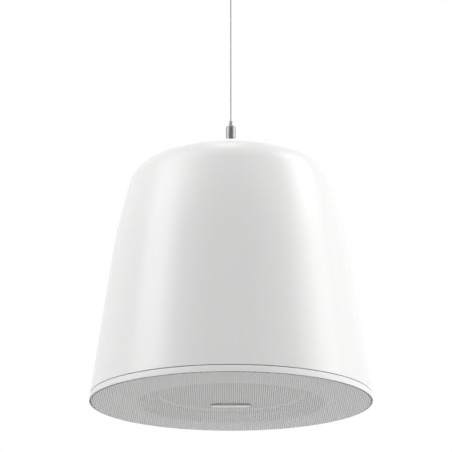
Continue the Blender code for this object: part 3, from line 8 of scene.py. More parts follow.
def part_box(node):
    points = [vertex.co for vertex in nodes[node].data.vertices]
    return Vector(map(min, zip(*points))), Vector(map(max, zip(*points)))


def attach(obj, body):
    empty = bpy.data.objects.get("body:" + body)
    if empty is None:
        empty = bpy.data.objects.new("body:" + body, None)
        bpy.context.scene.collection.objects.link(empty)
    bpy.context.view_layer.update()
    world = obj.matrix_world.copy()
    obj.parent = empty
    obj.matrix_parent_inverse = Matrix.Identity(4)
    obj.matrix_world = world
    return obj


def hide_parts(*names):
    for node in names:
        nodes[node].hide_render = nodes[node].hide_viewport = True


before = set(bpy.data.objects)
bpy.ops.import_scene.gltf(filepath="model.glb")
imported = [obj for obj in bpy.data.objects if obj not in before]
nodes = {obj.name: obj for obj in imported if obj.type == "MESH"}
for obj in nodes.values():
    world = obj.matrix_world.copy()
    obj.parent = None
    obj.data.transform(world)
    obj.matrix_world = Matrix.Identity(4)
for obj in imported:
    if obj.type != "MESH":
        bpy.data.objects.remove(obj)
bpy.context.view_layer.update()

# Camera
# It stands low in front of the hanging speaker and looks a little up at it, through a long lens.
camera_data = bpy.data.cameras.new("camera")
camera_data.sensor_width = 36.0
camera_data.lens = 190.2
camera = bpy.data.objects.new("camera", camera_data)
camera.location = (-0.0053, -2.475, -1.01756)
camera.rotation_euler = (math.radians(106.30), 0.0, 0.0)
bpy.context.scene.collection.objects.link(camera)
bpy.context.scene.camera = camera


# Suspension wire
# A 1.2 mm wire rope of six steel strands round a core, 0.23 m long. Its ball end hangs in the
# ceiling cap, and its tail runs through the gripper and ends inside the bell.
WIRE_DIAMETER = 0.0012
STRAND_COUNT = 6
STRAND_LAY = 0.0085
POINTS_A_STRAND = 5
WIRE_RING_STEP = 0.0006


def calculate(tree, operation, *values):
    """Result of a math node on sockets or plain numbers."""
    node = tree.nodes.new("ShaderNodeMath")
    node.operation = operation
    for slot, value in zip(node.inputs, values):
        if isinstance(value, (int, float)):
            slot.default_value = value
        else:
            tree.links.new(value, slot)
    return node.outputs[0]


def add_sockets(tree, direction, sockets):
    """Add (name, kind) sockets to a node group."""
    for name, kind in sockets:
        tree.interface.new_socket(name, in_out=direction, socket_type="NodeSocket" + kind)


def surface_group():
    """Node group for worked surfaces: a slow drift of colour and roughness, and a fine grain."""
    group = bpy.data.node_groups.new("worked_surface", "ShaderNodeTree")
    add_sockets(group, "INPUT", [("Colour", "Color"), ("Tint", "Float"), ("Drift Scale", "Float"),
                                 ("Grain Scale", "Float"), ("Roughness", "Float"),
                                 ("Roughness Shift", "Float"), ("Stretch", "Vector")])
    add_sockets(group, "OUTPUT", [("Colour", "Color"), ("Roughness", "Float"), ("Height", "Float")])
    made = group.nodes
    link = group.links.new
    entry = made.new("NodeGroupInput").outputs
    leave = made.new("NodeGroupOutput").inputs
    place = made.new("ShaderNodeTexCoord").outputs["Object"]
    stretched = made.new("ShaderNodeVectorMath")
    stretched.operation = "MULTIPLY"
    link(place, stretched.inputs[0])
    link(entry["Stretch"], stretched.inputs[1])

    patterns = []
    for where, scale, detail in ((place, "Drift Scale", 3.0), (stretched.outputs[0], "Grain Scale", 2.0)):
        noise = made.new("ShaderNodeTexNoise")
        noise.inputs["Detail"].default_value = detail
        link(where, noise.inputs["Vector"])
        link(entry[scale], noise.inputs["Scale"])
        patterns.append(noise.outputs["Fac"])
    drift = calculate(group, "SUBTRACT", patterns[0], 0.5)
    grain = calculate(group, "SUBTRACT", patterns[1], 0.5)

    coloured = made.new("ShaderNodeVectorMath")
    coloured.operation = "SCALE"
    link(entry["Colour"], coloured.inputs[0])
    link(calculate(group, "MULTIPLY_ADD", drift, entry["Tint"], 1.0), coloured.inputs["Scale"])
    rough = calculate(group, "MULTIPLY_ADD", calculate(group, "ADD", drift, grain),
                      entry["Roughness Shift"], entry["Roughness"])
    link(coloured.outputs[0], leave["Colour"])
    link(rough, leave["Roughness"])
    link(patterns[1], leave["Height"])
    return group


worked_surface = surface_group()


def surface_finish(name, colour, roughness, metallic=0.0, tint=0.05, drift=18.0, grain=2500.0,
                   shift=0.06, relief=0.00002, stretch=(1.0, 1.0, 1.0), specular=0.5):
    """Material whose colour, gloss and grain come from the worked-surface group."""
    material = bpy.data.materials.new(name)
    material.use_nodes = True
    tree = material.node_tree
    shader = tree.nodes["Principled BSDF"]
    shader.inputs["Metallic"].default_value = metallic
    shader.inputs["Specular IOR Level"].default_value = specular
    surface = tree.nodes.new("ShaderNodeGroup")
    surface.node_tree = worked_surface
    for label, value in (("Colour", (*colour, 1.0)), ("Tint", tint), ("Drift Scale", drift),
                         ("Grain Scale", grain), ("Roughness", roughness), ("Roughness Shift", shift),
                         ("Stretch", stretch)):
        surface.inputs[label].default_value = value
    bump = tree.nodes.new("ShaderNodeBump")
    bump.inputs["Distance"].default_value = relief
    tree.links.new(surface.outputs["Colour"], shader.inputs["Base Color"])
    tree.links.new(surface.outputs["Roughness"], shader.inputs["Roughness"])
    tree.links.new(surface.outputs["Height"], bump.inputs["Height"])
    tree.links.new(bump.outputs["Normal"], shader.inputs["Normal"])
    material.diffuse_color = (*colour, 1.0)
    return material


def dress(material, *names):
    """Give solids of the frame that stay in view a finer material."""
    for name in names:
        nodes[name].material_slots[0].material = material


def show(name, mesh):
    """Object that carries a mesh, in the scene."""
    shown = bpy.data.objects.new(name, mesh)
    bpy.context.scene.collection.objects.link(shown)
    return shown


def settle(piece):
    """Keep what a piece's modifiers make of it as its plain mesh."""
    bpy.context.view_layer.update()
    shape = piece.evaluated_get(bpy.context.evaluated_depsgraph_get())
    result = bpy.data.meshes.new_from_object(shape)
    piece.modifiers.clear()
    piece.data = result
    return result


def add_piece(name, bm, material, sharp=35.0):
    """Turn a bmesh into a shown object with smooth round faces and sharp corners."""
    bmesh.ops.remove_doubles(bm, verts=bm.verts, dist=1e-7)
    bmesh.ops.recalc_face_normals(bm, faces=bm.faces)
    mesh = bpy.data.meshes.new(name)
    bm.to_mesh(mesh)
    bm.free()
    mesh.shade_smooth()
    mesh.set_sharp_from_angle(angle=math.radians(sharp))
    mesh.materials.append(material)
    return show(name, mesh)


def lofted(name, bm, rings, material, sharp):
    """Closed piece through rings of points, flat at both ends."""
    for first, second in zip(rings, rings[1:]):
        for step in range(len(first)):
            after = (step + 1) % len(first)
            bm.faces.new((first[step], first[after], second[after], second[step]))
    bm.faces.new(rings[0][::-1])
    bm.faces.new(rings[-1])
    return add_piece(name, bm, material, sharp)


def rope_radius(angle):
    """Radius of the rope's lobed section at an angle from the middle of a strand."""
    strand = WIRE_DIAMETER / 6
    circle = WIRE_DIAMETER / 3
    return circle * math.cos(angle) + math.sqrt(max(strand ** 2 - (circle * math.sin(angle)) ** 2, 0.0))


def rope_rings(bm, top, bottom):
    """Lobed rings of the twisted rope, from its top to its bottom."""
    steps = int((top - bottom) / WIRE_RING_STEP)
    lobe = 2 * math.pi / STRAND_COUNT
    rings = []
    for step in range(steps + 1):
        z = top + (bottom - top) * step / steps
        twist = 2 * math.pi * (top - z) / STRAND_LAY
        ring = []
        for point in range(STRAND_COUNT * POINTS_A_STRAND):
            share = (point % POINTS_A_STRAND) / POINTS_A_STRAND - 0.5
            radius = rope_radius(share * lobe)
            angle = twist + point * lobe / POINTS_A_STRAND
            ring.append(bm.verts.new((radius * math.cos(angle), radius * math.sin(angle), z)))
        rings.append(ring)
    return rings


wire_steel = surface_finish("wire_steel", (0.33, 0.33, 0.325), 0.50, 1.0, 0.10, 90.0, 4000.0, 0.10)
wire_low, wire_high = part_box("suspension_wire")
rope_bm = bmesh.new()
wire = lofted("suspension_rope", rope_bm, rope_rings(rope_bm, wire_high.z, wire_low.z), wire_steel, 60.0)
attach(wire, "wire")
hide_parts("suspension_wire")


# Ball end of the wire
# A zinc-plated steel ball pressed on the rope. It rests on the cone at the bottom of the cap.
BALL_END_RADIUS = 0.0024
BALL_STEPS = 16
ROUND_SIDES = 64
MEDIUM_SIDES = 48
SMALL_SIDES = 32
ROUNDING_STEPS = 4


def turned(name, section, material, sides=ROUND_SIDES, closed=True):
    """Turn (radius, z) points about the vertical axis. An open section ends on the axis."""
    bm = bmesh.new()
    rings = []
    for radius, z in section:
        if radius < 1e-9:
            rings.append([bm.verts.new((0.0, 0.0, z))])
            continue
        rings.append([
            bm.verts.new((radius * math.cos(2 * math.pi * step / sides),
                          radius * math.sin(2 * math.pi * step / sides), z))
            for step in range(sides)
        ])
    pairs = list(zip(rings, rings[1:]))
    if closed:
        pairs.append((rings[-1], rings[0]))
    for lower, upper in pairs:
        for step in range(sides):
            after = (step + 1) % sides
            if len(lower) == 1 and len(upper) == 1:
                break
            if len(lower) == 1:
                bm.faces.new((lower[0], upper[step], upper[after]))
            elif len(upper) == 1:
                bm.faces.new((lower[step], lower[after], upper[0]))
            else:
                bm.faces.new((lower[step], lower[after], upper[after], upper[step]))
    return add_piece(name, bm, material)


def eased(corners):
    """Section with rounded corners, from (radius, z) or (radius, z, rounding) corners."""
    points = []
    count = len(corners)
    for index, corner in enumerate(corners):
        here = Vector(corner[:2])
        rounding = corner[2] if len(corner) > 2 else 0.0
        if rounding == 0.0:
            points.append(tuple(here))
            continue
        before = Vector(corners[index - 1][:2]) - here
        after = Vector(corners[(index + 1) % count][:2]) - here
        reach = min(rounding, before.length * 0.49, after.length * 0.49)
        first = here + before.normalized() * reach
        last = here + after.normalized() * reach
        for step in range(ROUNDING_STEPS + 1):
            share = step / ROUNDING_STEPS
            curve = first * (1 - share) ** 2 + here * 2 * share * (1 - share) + last * share ** 2
            points.append(tuple(curve))
    return points


zinc_plate = surface_finish("zinc_plate", (0.52, 0.52, 0.50), 0.36, 1.0, 0.10, 60.0, 1800.0, 0.12)
ball_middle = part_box("wire_ball")[1].z - BALL_END_RADIUS
ball_first = math.asin(WIRE_DIAMETER / 2 / BALL_END_RADIUS)
ball_section = [(0.0, ball_middle - BALL_END_RADIUS * math.cos(ball_first))]
for step in range(BALL_STEPS + 1):
    angle = ball_first + (math.pi - ball_first) * step / BALL_STEPS
    ball_section.append((BALL_END_RADIUS * math.sin(angle) if step < BALL_STEPS else 0.0,
                         ball_middle - BALL_END_RADIUS * math.cos(angle)))
ball_end = turned("rope_ball_end", ball_section, zinc_plate, SMALL_SIDES, False)
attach(ball_end, "wire")
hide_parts("wire_ball")


# Ceiling fitting
# A flanged brass base, held by two countersunk screws of the installer's, and a cap that
# screws on its spigot and carries the ball end. Both are turned and nickel-plated.
FLANGE_RADIUS = 0.0210
FLANGE_THICKNESS = 0.0035
SPIGOT_RADIUS = 0.0100
SPIGOT_LENGTH = 0.0110
SCREW_HOLE_RADIUS = 0.0021
SCREW_HOLE_CIRCLE = 0.0168
SINK_TOOL_RADIUS = 0.00399
SINK_RADIUS = 0.00357
SINK_DEPTH = 0.0014
SINK_MARGIN = 0.0008
CAP_RADIUS = 0.0125
CAP_HEIGHT = 0.0210
CAP_FLOOR = 0.0095
CAP_CHAMFER = 0.0025
CAP_WIRE_HOLE = 0.0011
CAP_SEAT_DEPTH = 0.0020
CAP_SEAT_ROOM = 0.0010
TOUCH_GAP = 0.0003


def cut_away(piece, cutters):
    """Cut tool shapes out of a piece and keep the result as its plain mesh."""
    for cutter in cutters:
        modifier = piece.modifiers.new("cut", "BOOLEAN")
        modifier.operation = "DIFFERENCE"
        modifier.solver = "EXACT"
        modifier.object = cutter
    cut = settle(piece)
    cut.shade_smooth()
    cut.set_sharp_from_angle(angle=math.radians(35))
    for cutter in cutters:
        bpy.data.objects.remove(cutter, do_unlink=True)


def turned_plate(name, colour, roughness):
    """Plated metal with the faint rings that a lathe leaves round its axis."""
    return surface_finish(name, colour, roughness, 0.85, 0.05, 40.0, 900.0, 0.04, 0.000003,
                          (0.05, 0.05, 8.0))


nickel = turned_plate("nickel_plate", (0.38, 0.38, 0.375), 0.46)
flange_level = -FLANGE_THICKNESS
spigot_level = flange_level - SPIGOT_LENGTH
ceiling_base = turned("ceiling_base_turned", eased([
    (0.0, spigot_level),
    (SPIGOT_RADIUS, spigot_level, 0.0006),
    (SPIGOT_RADIUS, flange_level, 0.0003),
    (FLANGE_RADIUS, flange_level, 0.0009),
    (FLANGE_RADIUS, 0.0, 0.0002),
    (0.0, 0.0),
]), nickel, ROUND_SIDES, False)
hole_tools = []
for side in (-1, 1):
    tool = turned("screw_hole_tool", [
        (0.0, flange_level - SINK_MARGIN),
        (SINK_TOOL_RADIUS, flange_level - SINK_MARGIN),
        (SINK_RADIUS, flange_level + 0.0001),
        (SCREW_HOLE_RADIUS, flange_level + SINK_DEPTH),
        (SCREW_HOLE_RADIUS, SINK_MARGIN),
        (0.0, SINK_MARGIN),
    ], nickel, SMALL_SIDES, False)
    tool.data.transform(Matrix.Translation((side * SCREW_HOLE_CIRCLE, 0.0, 0.0)))
    hole_tools.append(tool)
cut_away(ceiling_base, hole_tools)
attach(ceiling_base, "ceiling")
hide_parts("ceiling_base")

cap_top = flange_level - TOUCH_GAP
cap_bottom = cap_top - CAP_HEIGHT
cap_floor = cap_bottom + CAP_FLOOR
cap_bore = SPIGOT_RADIUS + TOUCH_GAP
seat_top = cap_floor - CAP_SEAT_DEPTH
seat_radius = BALL_END_RADIUS + TOUCH_GAP + CAP_SEAT_ROOM
ceiling_cap = turned("ceiling_cap_turned", eased([
    (CAP_RADIUS, cap_top, 0.0005),
    (cap_bore, cap_top, 0.0003),
    (cap_bore, cap_floor),
    (seat_radius, cap_floor, 0.0002),
    (seat_radius, seat_top),
    (CAP_WIRE_HOLE, seat_top - seat_radius),
    (CAP_WIRE_HOLE, cap_bottom, 0.0002),
    (CAP_RADIUS - CAP_CHAMFER, cap_bottom, 0.0010),
    (CAP_RADIUS, cap_bottom + CAP_CHAMFER, 0.0010),
]), nickel)
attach(ceiling_cap, "ceiling")
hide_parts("ceiling_cap")


# Wire gripper
# A nickel-plated brass barrel screwed on a base whose stud goes through the bell's crown.
# Inside, a cone wedges three steel balls on the rope.
GRIPPER_RADIUS = 0.0055
GRIPPER_BASE_RADIUS = 0.0080
GRIPPER_BASE_HEIGHT = 0.0060
GRIPPER_CHAMFER = 0.0008
GRIPPER_BORE = 0.0042
STUD_RADIUS = 0.0040
STUD_BORE = 0.0013
STUD_LENGTH = 0.0160
SPIGOT_WALL_GAP = 0.0003
BARREL_NECK = 0.0065
BARREL_CONE_END = 0.0160
NIPPLE_RADIUS = 0.0021
NIPPLE_PLAY = 0.00025
THREAD_DEPTH = 0.0003
THREAD_PITCH = 0.0008
THREAD_LEAD = 0.0006

base_low, base_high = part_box("gripper_base")
barrel_low, barrel_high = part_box("gripper_barrel")
base_seat = base_low.z + STUD_LENGTH
stud_section = [(STUD_BORE, base_low.z), (STUD_RADIUS - THREAD_LEAD, base_low.z)]
ridge = base_low.z + THREAD_LEAD
while ridge < base_seat - THREAD_PITCH:
    stud_section.append((STUD_RADIUS, ridge + THREAD_PITCH * 0.3))
    stud_section.append((STUD_RADIUS - THREAD_DEPTH, ridge + THREAD_PITCH * 0.8))
    ridge += THREAD_PITCH
gripper_base = turned("gripper_base_turned", eased([
    *stud_section,
    (STUD_RADIUS, base_seat),
    (GRIPPER_BASE_RADIUS, base_seat, 0.0003),
    (GRIPPER_BASE_RADIUS, base_seat + GRIPPER_BASE_HEIGHT * 0.5, 0.0008),
    (GRIPPER_RADIUS, base_seat + GRIPPER_BASE_HEIGHT),
    (GRIPPER_BORE - SPIGOT_WALL_GAP, base_seat + GRIPPER_BASE_HEIGHT),
    (GRIPPER_BORE - SPIGOT_WALL_GAP, base_high.z),
    (STUD_BORE, base_high.z),
]), nickel)
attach(gripper_base, "speaker")
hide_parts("gripper_base")

barrel_bore = NIPPLE_RADIUS + NIPPLE_PLAY
gripper_barrel = turned("gripper_barrel_turned", eased([
    (GRIPPER_RADIUS, barrel_low.z, 0.0003),
    (GRIPPER_RADIUS, barrel_high.z - GRIPPER_CHAMFER, 0.0003),
    (GRIPPER_RADIUS - GRIPPER_CHAMFER, barrel_high.z, 0.0003),
    (barrel_bore, barrel_high.z, 0.0002),
    (barrel_bore, barrel_high.z - BARREL_NECK),
    (GRIPPER_BORE, barrel_high.z - BARREL_CONE_END),
    (GRIPPER_BORE, barrel_low.z),
]), nickel)
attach(gripper_barrel, "speaker")
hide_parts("gripper_barrel")
dress(zinc_plate, "gripper_spring", "load_plate", "stud_washer", "stud_nut")


# Release nipple
# A plated tube that stands out of the barrel and travels 2 mm. Pressed down, it moves the
# balls out of the cone and frees the rope.
COLLAR_RADIUS = 0.0029
COLLAR_HEIGHT = 0.0012
NIPPLE_BORE = 0.0011
GRIP_BALL_COUNT = 3
WINDOW_PLAY = 0.0002
WINDOW_FROM = 0.0007
WINDOW_TO = 0.0040
WINDOW_SIDES = 16
nipple_low, nipple_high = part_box("release_nipple")
nipple = turned("release_nipple_turned", eased([
    (NIPPLE_BORE, nipple_low.z),
    (COLLAR_RADIUS, nipple_low.z, 0.0002),
    (COLLAR_RADIUS, nipple_low.z + COLLAR_HEIGHT, 0.0002),
    (NIPPLE_RADIUS, nipple_low.z + COLLAR_HEIGHT),
    (NIPPLE_RADIUS, nipple_high.z, 0.0006),
    (NIPPLE_BORE, nipple_high.z, 0.0003),
]), nickel, MEDIUM_SIDES)
ball_low, ball_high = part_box("grip_ball_1")
ball_level = (ball_low.z + ball_high.z) / 2
window_radius = (ball_high.z - ball_low.z) / 2 + WINDOW_PLAY
window_tools = []
for index in range(GRIP_BALL_COUNT):
    tool = turned("cage_window_tool", [
        (0.0, WINDOW_FROM),
        (window_radius, WINDOW_FROM),
        (window_radius, WINDOW_TO),
        (0.0, WINDOW_TO),
    ], nickel, WINDOW_SIDES, False)
    round_axis = Matrix.Rotation(2 * math.pi * index / GRIP_BALL_COUNT, 4, "Z")
    turn = round_axis @ Matrix.Rotation(math.pi / 2, 4, "Y")
    tool.data.transform(Matrix.Translation((0.0, 0.0, ball_level)) @ turn)
    window_tools.append(tool)
cut_away(nipple, window_tools)
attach(nipple, "nipple")
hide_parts("release_nipple")
dress(zinc_plate, *[f"grip_ball_{index + 1}" for index in range(GRIP_BALL_COUNT)])


# Bell housing
# One moulded bell of white plastic: a leaning wall, a long arc, a tight shoulder and a
# shallow crown. Its satin skin is as it came from the mould.
HANG_HEIGHT = 0.488
MOUTH_RADIUS = 0.150
WALL_THICKNESS = 0.0035
WALL_LEAN = math.radians(8.08)
STRAIGHT_HEIGHT = 0.1494
LONG_ARC_RADIUS = 0.689
LONG_ARC_TURN = math.radians(7.6)
SHOULDER_RADIUS = 0.0390
CROWN_EDGE_ANGLE = math.radians(17.1)
STUD_HOLE_RADIUS = 0.0044
HOUSING_BOTTOM = 0.0072
HOUSING_EDGE = 0.00025
HOUSING_SIDES = 200
WALL_STEPS = 12
ARC_STEPS = (8, 22)
CROWN_STEPS = 12


def level(height):
    """Z of a height that is counted up from the rim of the grille."""
    return height - HANG_HEIGHT


def wall_radius(height, offset=0.0):
    """Radius of the bell's straight wall at a height, offset inwards from its skin."""
    return MOUTH_RADIUS - height * math.tan(WALL_LEAN) - offset / math.cos(WALL_LEAN)


def bell_arcs():
    """The bell's two arcs, and the crown's own radius and the height of its centre."""
    arcs = []
    radius = MOUTH_RADIUS - STRAIGHT_HEIGHT * math.tan(WALL_LEAN)
    height = STRAIGHT_HEIGHT
    angle = WALL_LEAN
    shoulder_turn = math.pi / 2 - WALL_LEAN - LONG_ARC_TURN - CROWN_EDGE_ANGLE
    for arc_radius, turn in ((LONG_ARC_RADIUS, LONG_ARC_TURN), (SHOULDER_RADIUS, shoulder_turn)):
        centre_radius = radius - arc_radius * math.cos(angle)
        centre_height = height - arc_radius * math.sin(angle)
        arcs.append((centre_radius, centre_height, arc_radius, angle, turn))
        angle += turn
        radius = centre_radius + arc_radius * math.cos(angle)
        height = centre_height + arc_radius * math.sin(angle)
    crown_radius = radius / math.sin(CROWN_EDGE_ANGLE)
    return arcs, crown_radius, height - crown_radius * math.cos(CROWN_EDGE_ANGLE)


def bell_path(offset, start, end_radius):
    """Section of the bell from a height on its wall to a hole in its crown."""
    arcs, crown_radius, crown_centre = bell_arcs()
    points = []
    for step in range(WALL_STEPS + 1):
        height = start + (STRAIGHT_HEIGHT - start) * step / WALL_STEPS
        points.append((wall_radius(height, offset), level(height)))
    for (centre_radius, centre_height, arc_radius, first, turn), count in zip(arcs, ARC_STEPS):
        for step in range(1, count + 1):
            angle = first + turn * step / count
            reach = arc_radius - offset
            points.append((centre_radius + reach * math.cos(angle),
                           level(centre_height + reach * math.sin(angle))))
    reach = crown_radius - offset
    last = math.asin(end_radius / reach)
    for step in range(1, CROWN_STEPS + 1):
        slope = CROWN_EDGE_ANGLE + (last - CROWN_EDGE_ANGLE) * step / CROWN_STEPS
        points.append((reach * math.sin(slope), level(crown_centre + reach * math.cos(slope))))
    return points


def crown_place(radius):
    """Height and slope of the crown's skin at a radius."""
    crown_radius, crown_centre = bell_arcs()[1:]
    return crown_centre + math.sqrt(crown_radius ** 2 - radius ** 2), math.asin(radius / crown_radius)


white_plastic = surface_finish("white_plastic", (0.78, 0.78, 0.775), 0.26, 0.0, 0.012, 7.0, 1400.0,
                               0.03, 0.000010)
housing_section = bell_path(0.0, HOUSING_BOTTOM + HOUSING_EDGE, STUD_HOLE_RADIUS)
housing_section += bell_path(WALL_THICKNESS, HOUSING_BOTTOM + HOUSING_EDGE, STUD_HOLE_RADIUS)[::-1]
housing_section += [
    (wall_radius(HOUSING_BOTTOM, WALL_THICKNESS - HOUSING_EDGE), level(HOUSING_BOTTOM)),
    (wall_radius(HOUSING_BOTTOM, HOUSING_EDGE), level(HOUSING_BOTTOM)),
]
housing = turned("bell_housing", housing_section, white_plastic, HOUSING_SIDES)


# Cable gland
# A black nylon gland behind the gripper, square to the crown's skin: a hexagonal body, and
# a ribbed cap that squeezes a seal on the cable. A nut holds it from inside.
GLAND_DISTANCE = 0.0430
GLAND_THREAD_RADIUS = 0.0060
GLAND_FLANGE_RADIUS = 0.0085
GLAND_FLANGE_HEIGHT = 0.0035
GLAND_NOSE_HEIGHT = 0.0065
GLAND_BORE_RADIUS = 0.0044
GLAND_THREAD_LENGTH = 0.0115
GLAND_LIP = 0.0010
GLAND_TOOL_REACH = 0.02
HEXAGON_OVERLAP = 0.0004
RIB_COUNT = 18
RIB_RADIUS = 0.00045
RIB_SIDES = 8

gland_height, gland_slope = crown_place(GLAND_DISTANCE)
gland_place = (Matrix.Translation((0.0, GLAND_DISTANCE, level(gland_height)))
               @ Matrix.Rotation(-gland_slope, 4, "X"))
gland_hole = turned("gland_hole_tool", [
    (0.0, -GLAND_TOOL_REACH),
    (GLAND_THREAD_RADIUS + TOUCH_GAP, -GLAND_TOOL_REACH),
    (GLAND_THREAD_RADIUS + TOUCH_GAP, GLAND_TOOL_REACH),
    (0.0, GLAND_TOOL_REACH),
], white_plastic, MEDIUM_SIDES, False)
gland_hole.data.transform(gland_place)
cut_away(housing, [gland_hole])
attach(housing, "speaker")
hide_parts("housing_shell")

black_nylon = surface_finish("black_nylon", (0.030, 0.030, 0.031), 0.46, 0.0, 0.20, 60.0, 2200.0, 0.08,
                             0.00003)
nose_radius = GLAND_THREAD_RADIUS + GLAND_LIP
shoulder = TOUCH_GAP + GLAND_FLANGE_HEIGHT
tip = shoulder + GLAND_NOSE_HEIGHT
gland = turned("gland_body", eased([
    (GLAND_THREAD_RADIUS, -GLAND_THREAD_LENGTH, 0.0005),
    (GLAND_THREAD_RADIUS, TOUCH_GAP),
    (nose_radius, TOUCH_GAP),
    (nose_radius, shoulder + GLAND_NOSE_HEIGHT * 0.6, 0.0015),
    (GLAND_BORE_RADIUS + GLAND_LIP, tip, 0.0006),
    (GLAND_BORE_RADIUS, tip, 0.0003),
    (GLAND_BORE_RADIUS, -GLAND_THREAD_LENGTH),
]), black_nylon, MEDIUM_SIDES)
hexagon = turned("gland_hexagon", eased([
    (nose_radius - HEXAGON_OVERLAP, TOUCH_GAP),
    (GLAND_FLANGE_RADIUS, TOUCH_GAP),
    (GLAND_FLANGE_RADIUS, shoulder - 0.0003),
    (GLAND_FLANGE_RADIUS - 0.0005, shoulder),
    (nose_radius - HEXAGON_OVERLAP, shoulder),
]), black_nylon, 6)


def piece_tree(name, sockets):
    """Geometry nodes tree with the named inputs, and its input sockets."""
    tree = bpy.data.node_groups.new(name, "GeometryNodeTree")
    add_sockets(tree, "OUTPUT", [("Geometry", "Geometry")])
    add_sockets(tree, "INPUT", [("Geometry", "Geometry"), *sockets, ("Material", "Material")])
    return tree, tree.nodes.new("NodeGroupInput").outputs


def scattered(tree, points, instance):
    """Instances of a shape on points, made real."""
    spread = tree.nodes.new("GeometryNodeInstanceOnPoints")
    real = tree.nodes.new("GeometryNodeRealizeInstances")
    tree.links.new(points, spread.inputs["Points"])
    tree.links.new(instance, spread.inputs["Instance"])
    tree.links.new(spread.outputs["Instances"], real.inputs["Geometry"])
    return real.outputs["Geometry"]


def leave_tree(tree, geometry, material):
    """Dress a tree's geometry and send it out."""
    dressed = tree.nodes.new("GeometryNodeSetMaterial")
    leave = tree.nodes.new("NodeGroupOutput")
    tree.links.new(geometry, dressed.inputs["Geometry"])
    tree.links.new(material, dressed.inputs["Material"])
    tree.links.new(dressed.outputs["Geometry"], leave.inputs["Geometry"])


def grip_ribs():
    """Geometry nodes tree that sets small ribs round a cap, from named inputs."""
    tree, entry = piece_tree("grip_ribs", [("Count", "Int"), ("Radius", "Float"), ("Rib Radius", "Float"),
                                           ("Rib Height", "Float"), ("Level", "Float")])
    made = tree.nodes
    link = tree.links.new
    ring = made.new("GeometryNodeMeshCircle")
    link(entry["Count"], ring.inputs["Vertices"])
    link(entry["Radius"], ring.inputs["Radius"])
    rib = made.new("GeometryNodeMeshCylinder")
    rib.inputs["Vertices"].default_value = RIB_SIDES
    link(entry["Rib Radius"], rib.inputs["Radius"])
    link(entry["Rib Height"], rib.inputs["Depth"])
    lift = made.new("ShaderNodeCombineXYZ")
    link(entry["Level"], lift.inputs["Z"])
    moved = made.new("GeometryNodeTransform")
    link(scattered(tree, ring.outputs["Mesh"], rib.outputs["Mesh"]), moved.inputs["Geometry"])
    link(lift.outputs["Vector"], moved.inputs["Translation"])
    leave_tree(tree, moved.outputs["Geometry"], entry["Material"])
    return tree


def run_tree(name, tree, values):
    """Run a geometry nodes tree with the given inputs and keep its result as a plain mesh."""
    holder = show(name, bpy.data.meshes.new(name))
    modifier = holder.modifiers.new(name, "NODES")
    modifier.node_group = tree
    for item in tree.interface.items_tree:
        if item.in_out == "INPUT" and item.name in values:
            modifier[item.identifier] = values[item.name]
    settle(holder)
    return holder


rib_height = GLAND_NOSE_HEIGHT * 0.55
ribs = run_tree("gland_ribs", grip_ribs(), {
    "Count": RIB_COUNT,
    "Radius": nose_radius,
    "Rib Radius": RIB_RADIUS,
    "Rib Height": rib_height,
    "Level": shoulder + rib_height / 2,
    "Material": black_nylon,
})
ribs.data.shade_smooth()
ribs.data.set_sharp_from_angle(angle=math.radians(50))
for piece in (gland, hexagon, ribs):
    piece.data.transform(gland_place)
    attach(piece, "speaker")
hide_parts("cable_gland")
dress(black_nylon, "gland_nut", "terminal_block")


# Bezel ring
# A second white moulding that closes the bell's mouth, a little duller than the bell. A thin
# shadow line parts the two, and a lip 0.8 mm wide runs round the grille.
BEZEL_HEIGHT = 0.0064
BEZEL_LIP = 0.0008
BEZEL_LIP_DROP = 0.0004
BEZEL_RECESS = 0.0042
BEZEL_WEB = 0.0024
BEZEL_SPIGOT_PLAY = 0.0006
BEZEL_FLANGE_INNER = 0.1305
BEZEL_FLANGE_BOTTOM = 0.0092
BAFFLE_TOP = 0.0190
bezel_flange_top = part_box("bezel_ring")[1].z
spigot_radius = wall_radius(BAFFLE_TOP, WALL_THICKNESS) - BEZEL_SPIGOT_PLAY
bezel_plastic = surface_finish("bezel_plastic", (0.785, 0.785, 0.78), 0.55, 0.0, 0.012, 7.0, 1400.0,
                               0.03, 0.000010)
bezel = turned("bezel_moulding", eased([
    (MOUTH_RADIUS, level(-BEZEL_LIP_DROP), 0.0004),
    (wall_radius(BEZEL_HEIGHT), level(BEZEL_HEIGHT), 0.0004),
    (spigot_radius, level(BEZEL_HEIGHT), 0.0003),
    (spigot_radius, bezel_flange_top),
    (BEZEL_FLANGE_INNER, bezel_flange_top),
    (BEZEL_FLANGE_INNER, level(BEZEL_FLANGE_BOTTOM)),
    (spigot_radius - BEZEL_WEB, level(BEZEL_FLANGE_BOTTOM)),
    (spigot_radius - BEZEL_WEB, level(BEZEL_RECESS)),
    (MOUTH_RADIUS - BEZEL_LIP, level(BEZEL_RECESS)),
    (MOUTH_RADIUS - BEZEL_LIP, level(-BEZEL_LIP_DROP), 0.0002),
]), bezel_plastic, HOUSING_SIDES)
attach(bezel, "speaker")
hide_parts("bezel_ring")


